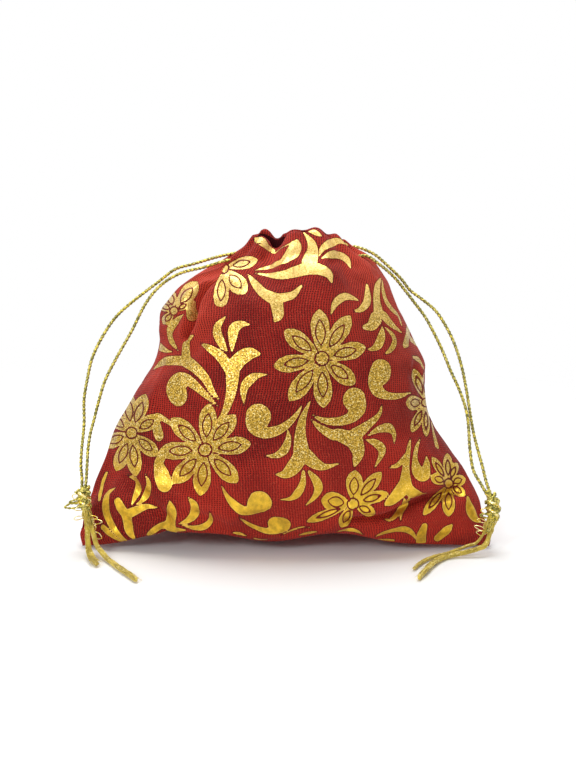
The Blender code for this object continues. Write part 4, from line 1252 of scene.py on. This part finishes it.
def lay_flower(flower, side=0, behind=False, shift=(0, 0), clear=False):
    """Lays a flower: pointed petals from the middle to each tip, with a loop inside each."""
    middle = np.array(flower[0]) + np.array(shift, float)
    (hit,) = cast([middle], behind)
    if hit is None:
        return False
    size = pixel_size(hit, behind)
    lengths = [math.dist(flower[0], petal[:2]) for petal in flower[1:]]
    reach, shortest = max(lengths), min(lengths)
    where = printable(behind)
    where = where[np.linalg.norm(cloth_points[where] - hit, axis=1) < 1.5 * reach * size]
    seen = seen_at(turned(cloth_points[where], behind)) - middle
    if side:
        (x0, y0), (x1, y1) = CREASE_SEEN
        beyond = (seen[:, 0] + middle[0] - x0) * (y1 - y0) - (seen[:, 1] + middle[1] - y0) * (x1 - x0)
        where, seen = where[beyond * side > 0], seen[beyond * side > 0]
    petals = FLOWER_HEART * (reach + shortest) / 2 - np.linalg.norm(seen, axis=1)
    loops = petals + HEART_RING * reach
    for across, down, half in flower[1:]:
        run = np.array([across, down]) - flower[0]
        length = float(np.linalg.norm(run))
        along = seen @ run / length**2
        beside = np.abs(seen[:, 0] * run[1] - seen[:, 1] * run[0]) / length
        petals = np.maximum(petals, half * np.interp(along, *PETAL_WIDTHS) - beside)
        loop = (1 - ((along - LOOP_MIDDLE) / LOOP_REACH) ** 2) * LOOP_WIDTH * half
        loops = np.maximum(loops, loop - beside)
    if clear and (np.minimum(foil[where], petals * size) > -CLEAR_CLOTH).any():
        return False
    foil[where] = np.maximum(foil[where], petals * size)
    petal_line[where] = np.maximum(petal_line[where], loops * size)
    return True


laid = [lay_motif(motif) for motif in MOTIFS + EDGE_MOTIFS]
laid += [lay_flower(flower) for flower in FLOWERS] + [lay_flower(*cut) for cut in CUT_FLOWERS]
behind = []
for move in BACK_MOVES:
    clear = move != BACK_MOVES[0]
    behind += [lay_flower(flower, 0, True, move, clear) for flower in (FLOWERS[0], *FLOWERS[3:])]
    behind += [lay_motif(motif, True, move, clear) for motif in MOTIFS]
print("front motifs", sum(laid), "of", len(laid), "and back motifs", sum(behind))

# %% The cloth as an object, with its print and thread places
used = np.zeros(len(cloth_points), bool)
for face in cloth_faces:
    used[list(face)] = True
new_place = np.cumsum(used) - 1
cloth_mesh = bpy.data.meshes.new("bag_cloth")
kept_faces = [tuple(int(new_place[k]) for k in face) for face in cloth_faces]
cloth_mesh.from_pydata([tuple(p) for p in cloth_points[used]], [], kept_faces)
for name, values in (("foil", foil), ("petal_line", petal_line)):
    stored = cloth_mesh.attributes.new(name, "FLOAT", "POINT")
    stored.data.foreach_set("value", np.maximum(values, NOT_PRINTED)[used])

grid = cloth_points[:-1].reshape(*cloth_table.shape, 3)
rise_at_middle = run_along(grid)[:, CLOTH_COLUMNS // 2]
rise = np.interp(cloth_v, cloth_v[:-1].reshape(cloth_table.shape)[:, 0], rise_at_middle)


def run_across(columns):
    """How far each point lies along its row, from the middle column."""
    run = run_along(grid[:, columns], axis=1)
    return run - run[:, len(columns) // 2][:, None]


run_all = np.zeros((2, len(cloth_points)))
front_columns = list(range(CLOTH_COLUMNS + 1))
back_columns = list(range(CLOTH_COLUMNS, grid.shape[1])) + [0]
for k, columns in enumerate((front_columns, back_columns)):
    spread = np.zeros(cloth_table.shape)
    spread[:, columns] = run_across(columns)
    run_all[k, :-1] = spread.ravel()
WARP_PITCH, WEFT_PITCH = 0.0011, 0.00075
threads = []
for face in cloth_faces:
    k = 0 if max(cloth_u[i] for i in face) <= 0.5 and cloth_u[face[0]] < 0.5 else 1
    for i in face:
        threads += (run_all[k, i] / WARP_PITCH, rise[i] / WEFT_PITCH, 0.0)
stored = cloth_mesh.attributes.new("threads", "FLOAT_VECTOR", "CORNER")
stored.data.foreach_set("vector", threads)
cloth_mesh.shade_smooth()
bag_cloth = in_scene("bag_cloth", cloth_mesh)
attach(bag_cloth, "root")
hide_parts("bag_body")
print("bag_cloth", len(cloth_mesh.polygons), "faces")

# %% [markdown]
# The cloth is an open weave: red threads 0.75 to 1.1 mm apart, with painted shade in the
# holes between. The foil is pressed on the thread tops, so it too is crossed by the weave,
# and it is grainy metal with painted light in its colour: pale where it faces the light and
# olive where it doesn't. Thin dark loops are left open in the petals. One shared group
# draws the threads for the colour and the bump.

# %% Shared group: woven threads
weave_group, weave_in, weave_out = new_group(
    "open_weave",
    [("Threads", "NodeSocketVector", None), ("Looseness", "NodeSocketFloat", 0.3)],
    [("Cover", "NodeSocketFloat"), ("Height", "NodeSocketFloat")],
)
at, loose = weave_in.outputs["Threads"], weave_in.outputs["Looseness"]
axes = node(weave_group, "ShaderNodeSeparateXYZ", {0: at})
wobble = node(weave_group, "ShaderNodeTexNoise", {"Scale": 0.35, "Detail": 2.0, "Vector": at})
tops, halves = [], []
for axis in axes.outputs[:2]:
    turn = math_node(weave_group, "MULTIPLY_ADD", wobble.outputs["Fac"], loose, axis)
    wave = math_node(weave_group, "MULTIPLY", turn, 2 * math.pi)
    top = math_node(weave_group, "COSINE", wave)
    tops.append(math_node(weave_group, "MULTIPLY_ADD", top, 0.5, 0.5))
    halves.append(math_node(weave_group, "COSINE", math_node(weave_group, "MULTIPLY", wave, 0.5)))
cover = math_node(weave_group, "MAXIMUM", tops[0], math_node(weave_group, "MULTIPLY", tops[1], 0.72))
lift = math_node(weave_group, "MULTIPLY", *halves)
height = math_node(weave_group, "MULTIPLY_ADD", lift, 0.25, cover)
feed(weave_group, weave_out, {"Cover": cover, "Height": height})
print("group", weave_group.name)

# %% Printed cloth
printed, tree, shader = new_material(
    "printed_cloth", 0.8, 0.0, Sheen_Weight=0.05, Sheen_Roughness=0.4, Specular_IOR_Level=0.2
)
foil_at = stored_on(tree, "foil", "Fac")
loop_at = stored_on(tree, "petal_line", "Fac")
place = object_place(tree)
height_above = node(tree, "ShaderNodeSeparateXYZ", {0: place}).outputs["Z"]


def woven(tree):
    weave = node(tree, "ShaderNodeGroup", node_tree=weave_group)
    feed(tree, weave, {"Looseness": 0.9, "Threads": stored_on(tree, "threads", "Vector")})
    return weave.outputs["Cover"], weave.outputs["Height"]


cover, height = woven(tree)
specks, patches = grain(tree, place, 2700.0)
_, slow = grain(tree, place, 260.0)
_, broad = grain(tree, place, 60.0)

# the red threads, the dark between them, and a thin dark rim round each motif
red_tone = mixed(tree, ranged(tree, slow, 0.35, 0.65), (0.27, 0.009, 0.005), (0.44, 0.020, 0.010))
# painted light: patches of lighter red, more of them the higher the cloth is
painted_light_up_high = ranged(tree, height_above, 0.04, 0.11, 0.2, 1.35)
painted_light_patches = math_node(tree, "MULTIPLY", ranged(tree, broad, 0.42, 0.62, 0.0, 0.7), painted_light_up_high)
red_tone = mixed(tree, painted_light_patches, red_tone, (0.72, 0.075, 0.038))
red_tone = mixed(tree, ranged(tree, specks, 0.75, 1.0, 0.0, 0.5), red_tone, (0.62, 0.09, 0.045))
# painted shade in the holes of the weave: near black to dark red between the threads
between = mixed(tree, ranged(tree, broad, 0.42, 0.58), (0.02, 0.001, 0.001), (0.14, 0.006, 0.004))
red = mixed(tree, ranged(tree, cover, 0.2, 0.78), between, red_tone)
rim = ranged(tree, foil_at, -0.0006, -0.0002)
red = mixed(tree, math_node(tree, "MULTIPLY", rim, 0.62), red, (0.045, 0.002, 0.004))

# where the foil lies, less the loops that are left open in the petals
edge = math_node(tree, "MULTIPLY_ADD", specks, 0.00012, foil_at)
inside = ranged(tree, edge, 0.0, 0.00012)
loop = math_node(tree, "ABSOLUTE", loop_at)
drawn = math_node(tree, "MULTIPLY", inside, ranged(tree, loop, 0.00020, 0.00040, 0.0, 1.0))

# the foil's colour carries painted light by height: grainy at middle height, with dark olive
# specks as painted shade and bright specks as painted glints; smooth bright gold near the seam
# as a painted reflection of the white floor; pale gold on top as a painted highlight
grain_and_painted_light = ranged(tree, math_node(tree, "MULTIPLY_ADD", patches, 0.02, height_above), 0.034, 0.056)
smooth_gold_painted_reflection = mixed(tree, ranged(tree, patches, 0.3, 0.7), (0.54, 0.33, 0.03), (0.86, 0.53, 0.04))
# painted glints and painted shade: the specks pick dark olive, gold or pale gold
grain_gold_painted_glints_and_shade = mixed(tree, ranged(tree, specks, 0.2, 0.85), (0.25, 0.145, 0.015), (0.76, 0.475, 0.07))
grain_gold_painted_glints_and_shade = mixed(tree, ranged(tree, specks, 0.84, 0.94), grain_gold_painted_glints_and_shade, (0.97, 0.77, 0.33))
gold = mixed(tree, grain_and_painted_light, smooth_gold_painted_reflection, grain_gold_painted_glints_and_shade)
# painted highlight: pale gold on the top of the pouch
painted_highlight_on_top = ranged(tree, math_node(tree, "MULTIPLY_ADD", patches, 0.02, height_above), 0.096, 0.130)
painted_highlight_gold = mixed(tree, ranged(tree, specks, 0.0, 0.5), (0.54, 0.33, 0.05), (0.88, 0.62, 0.21))
gold = mixed(tree, painted_highlight_on_top, gold, painted_highlight_gold)
lip = ranged(tree, foil_at, 0.00042, 0.00010, 0.0, 0.55)
gold = mixed(tree, lip, gold, (0.88, 0.56, 0.12))
feed(tree, shader, {
    "Base Color": mixed(tree, drawn, red, gold),
    "Metallic": math_node(tree, "MULTIPLY", drawn, 0.6),
    "Roughness": math_node(tree, "MULTIPLY_ADD", drawn, -0.44, 0.80),
})
relief = math_node(tree, "MULTIPLY", height, math_node(tree, "MULTIPLY_ADD", drawn, -0.7, 1.0))
grit = math_node(tree, "MULTIPLY", specks, math_node(tree, "MULTIPLY", drawn, grain_and_painted_light))
bumped(tree, shader, math_node(tree, "MULTIPLY_ADD", grit, 0.35, relief), 0.00016, 0.8)
print("finish", printed.name)

# %% [markdown]
# Down in the mouth the same cloth lies in its own shade, unprinted side out. It gets a
# darker red as painted shade, so that the mouth reads as a deep gathered hole.

# %% Inside of the mouth
inner, tree, shader = new_material("inner_cloth_painted_shade", 0.9, 0.0, Specular_IOR_Level=0.1)
cover, height = woven(tree)
# painted shade: near black holes and dark red threads inside the mouth
feed(tree, shader, {"Base Color": mixed(tree, cover, (0.012, 0.001, 0.002), (0.07, 0.003, 0.005))})
bumped(tree, shader, height, 0.00015, 0.8)
cloth_mesh.materials.append(printed)
cloth_mesh.materials.append(inner)
PIT_BEGINS = RIM + 0.85
deep_in = [int(min(cloth_v[i] for i in face) > PIT_BEGINS) for face in cloth_faces]
cloth_mesh.polygons.foreach_set("material_index", deep_in)
print("finish", inner.name, sum(deep_in), "faces")

# %% [markdown]
# The pouch is shown on a white floor in plain, soft studio light. A wide lamp hangs above
# and a little behind it, so its soft shadow falls forward, and a smaller lamp stands at
# the front left. The background is white only to the camera, in reflections and through
# clear parts of the floor, so the light on the pouch stays plain.

# %% Floor, world and lamps
FLOOR_RADIUS, FLOOR_SIDES = 0.9, 96
FADE_FROM, FADE_TO = 0.17, 0.46  # distances from the pouch's middle
around = round_angles(FLOOR_SIDES)
floor_mesh = bpy.data.meshes.new("floor")
floor_mesh.from_pydata(
    [(FLOOR_RADIUS * math.cos(a), FLOOR_RADIUS * math.sin(a), 0) for a in around], [],
    [tuple(range(FLOOR_SIDES))],
)
floor = in_scene("floor", floor_mesh)
floor_white, tree, shader = new_material("floor_white", 0.9, 0.0, Specular_IOR_Level=0.1)
mottle = node(tree, "ShaderNodeTexNoise", {"Scale": 12.0})
white_tone = mixed(tree, ranged(tree, mottle.outputs["Fac"], 0.3, 0.7), (0.90,) * 3, (0.92,) * 3)
# far from the pouch the floor fades into the white around it, so no horizon shows
far = node(tree, "ShaderNodeVectorMath", {0: object_place(tree)}, operation="LENGTH").outputs["Value"]
feed(tree, shader, {"Base Color": white_tone, "Alpha": ranged(tree, far, FADE_FROM, FADE_TO, 1.0, 0.0)})
floor_mesh.materials.append(floor_white)

world = bpy.data.worlds.new("studio")
bpy.context.scene.world = world
world.use_nodes = True
tree = world.node_tree
for old in list(tree.nodes):
    tree.nodes.remove(old)
seen = node(tree, "ShaderNodeLightPath")
white_for = math_node(tree, "MAXIMUM", seen.outputs["Is Camera Ray"], seen.outputs["Is Glossy Ray"])
white_for = math_node(tree, "MAXIMUM", white_for, seen.outputs["Is Transmission Ray"])
soft_light = node(tree, "ShaderNodeBackground", {"Color": (1, 1, 1, 1), "Strength": 0.45})
white = node(tree, "ShaderNodeBackground", {"Color": (1, 1, 1, 1), "Strength": 1.0})
either = node(tree, "ShaderNodeMixShader", {0: white_for, 1: soft_light.outputs[0], 2: white.outputs[0]})
node(tree, "ShaderNodeOutputWorld", {0: either.outputs[0]})


LAMPS_AIM = Vector((0, 0, 0.06))


def soft_lamp(name, place, size, power):
    lamp = bpy.data.lights.new(name, "AREA")
    lamp.shape, lamp.size, lamp.energy = "DISK", size, power
    made = in_scene(name, lamp)
    made.location = place
    made.rotation_euler = (LAMPS_AIM - Vector(place)).to_track_quat("-Z", "Y").to_euler()


soft_lamp("overhead", (-0.04, 0.14, 0.80), 0.60, 5.4)
soft_lamp("front_left", (-0.60, -0.90, 0.62), 0.35, 4.4)
bpy.context.scene.view_settings.view_transform = "Standard"
print("studio ready")
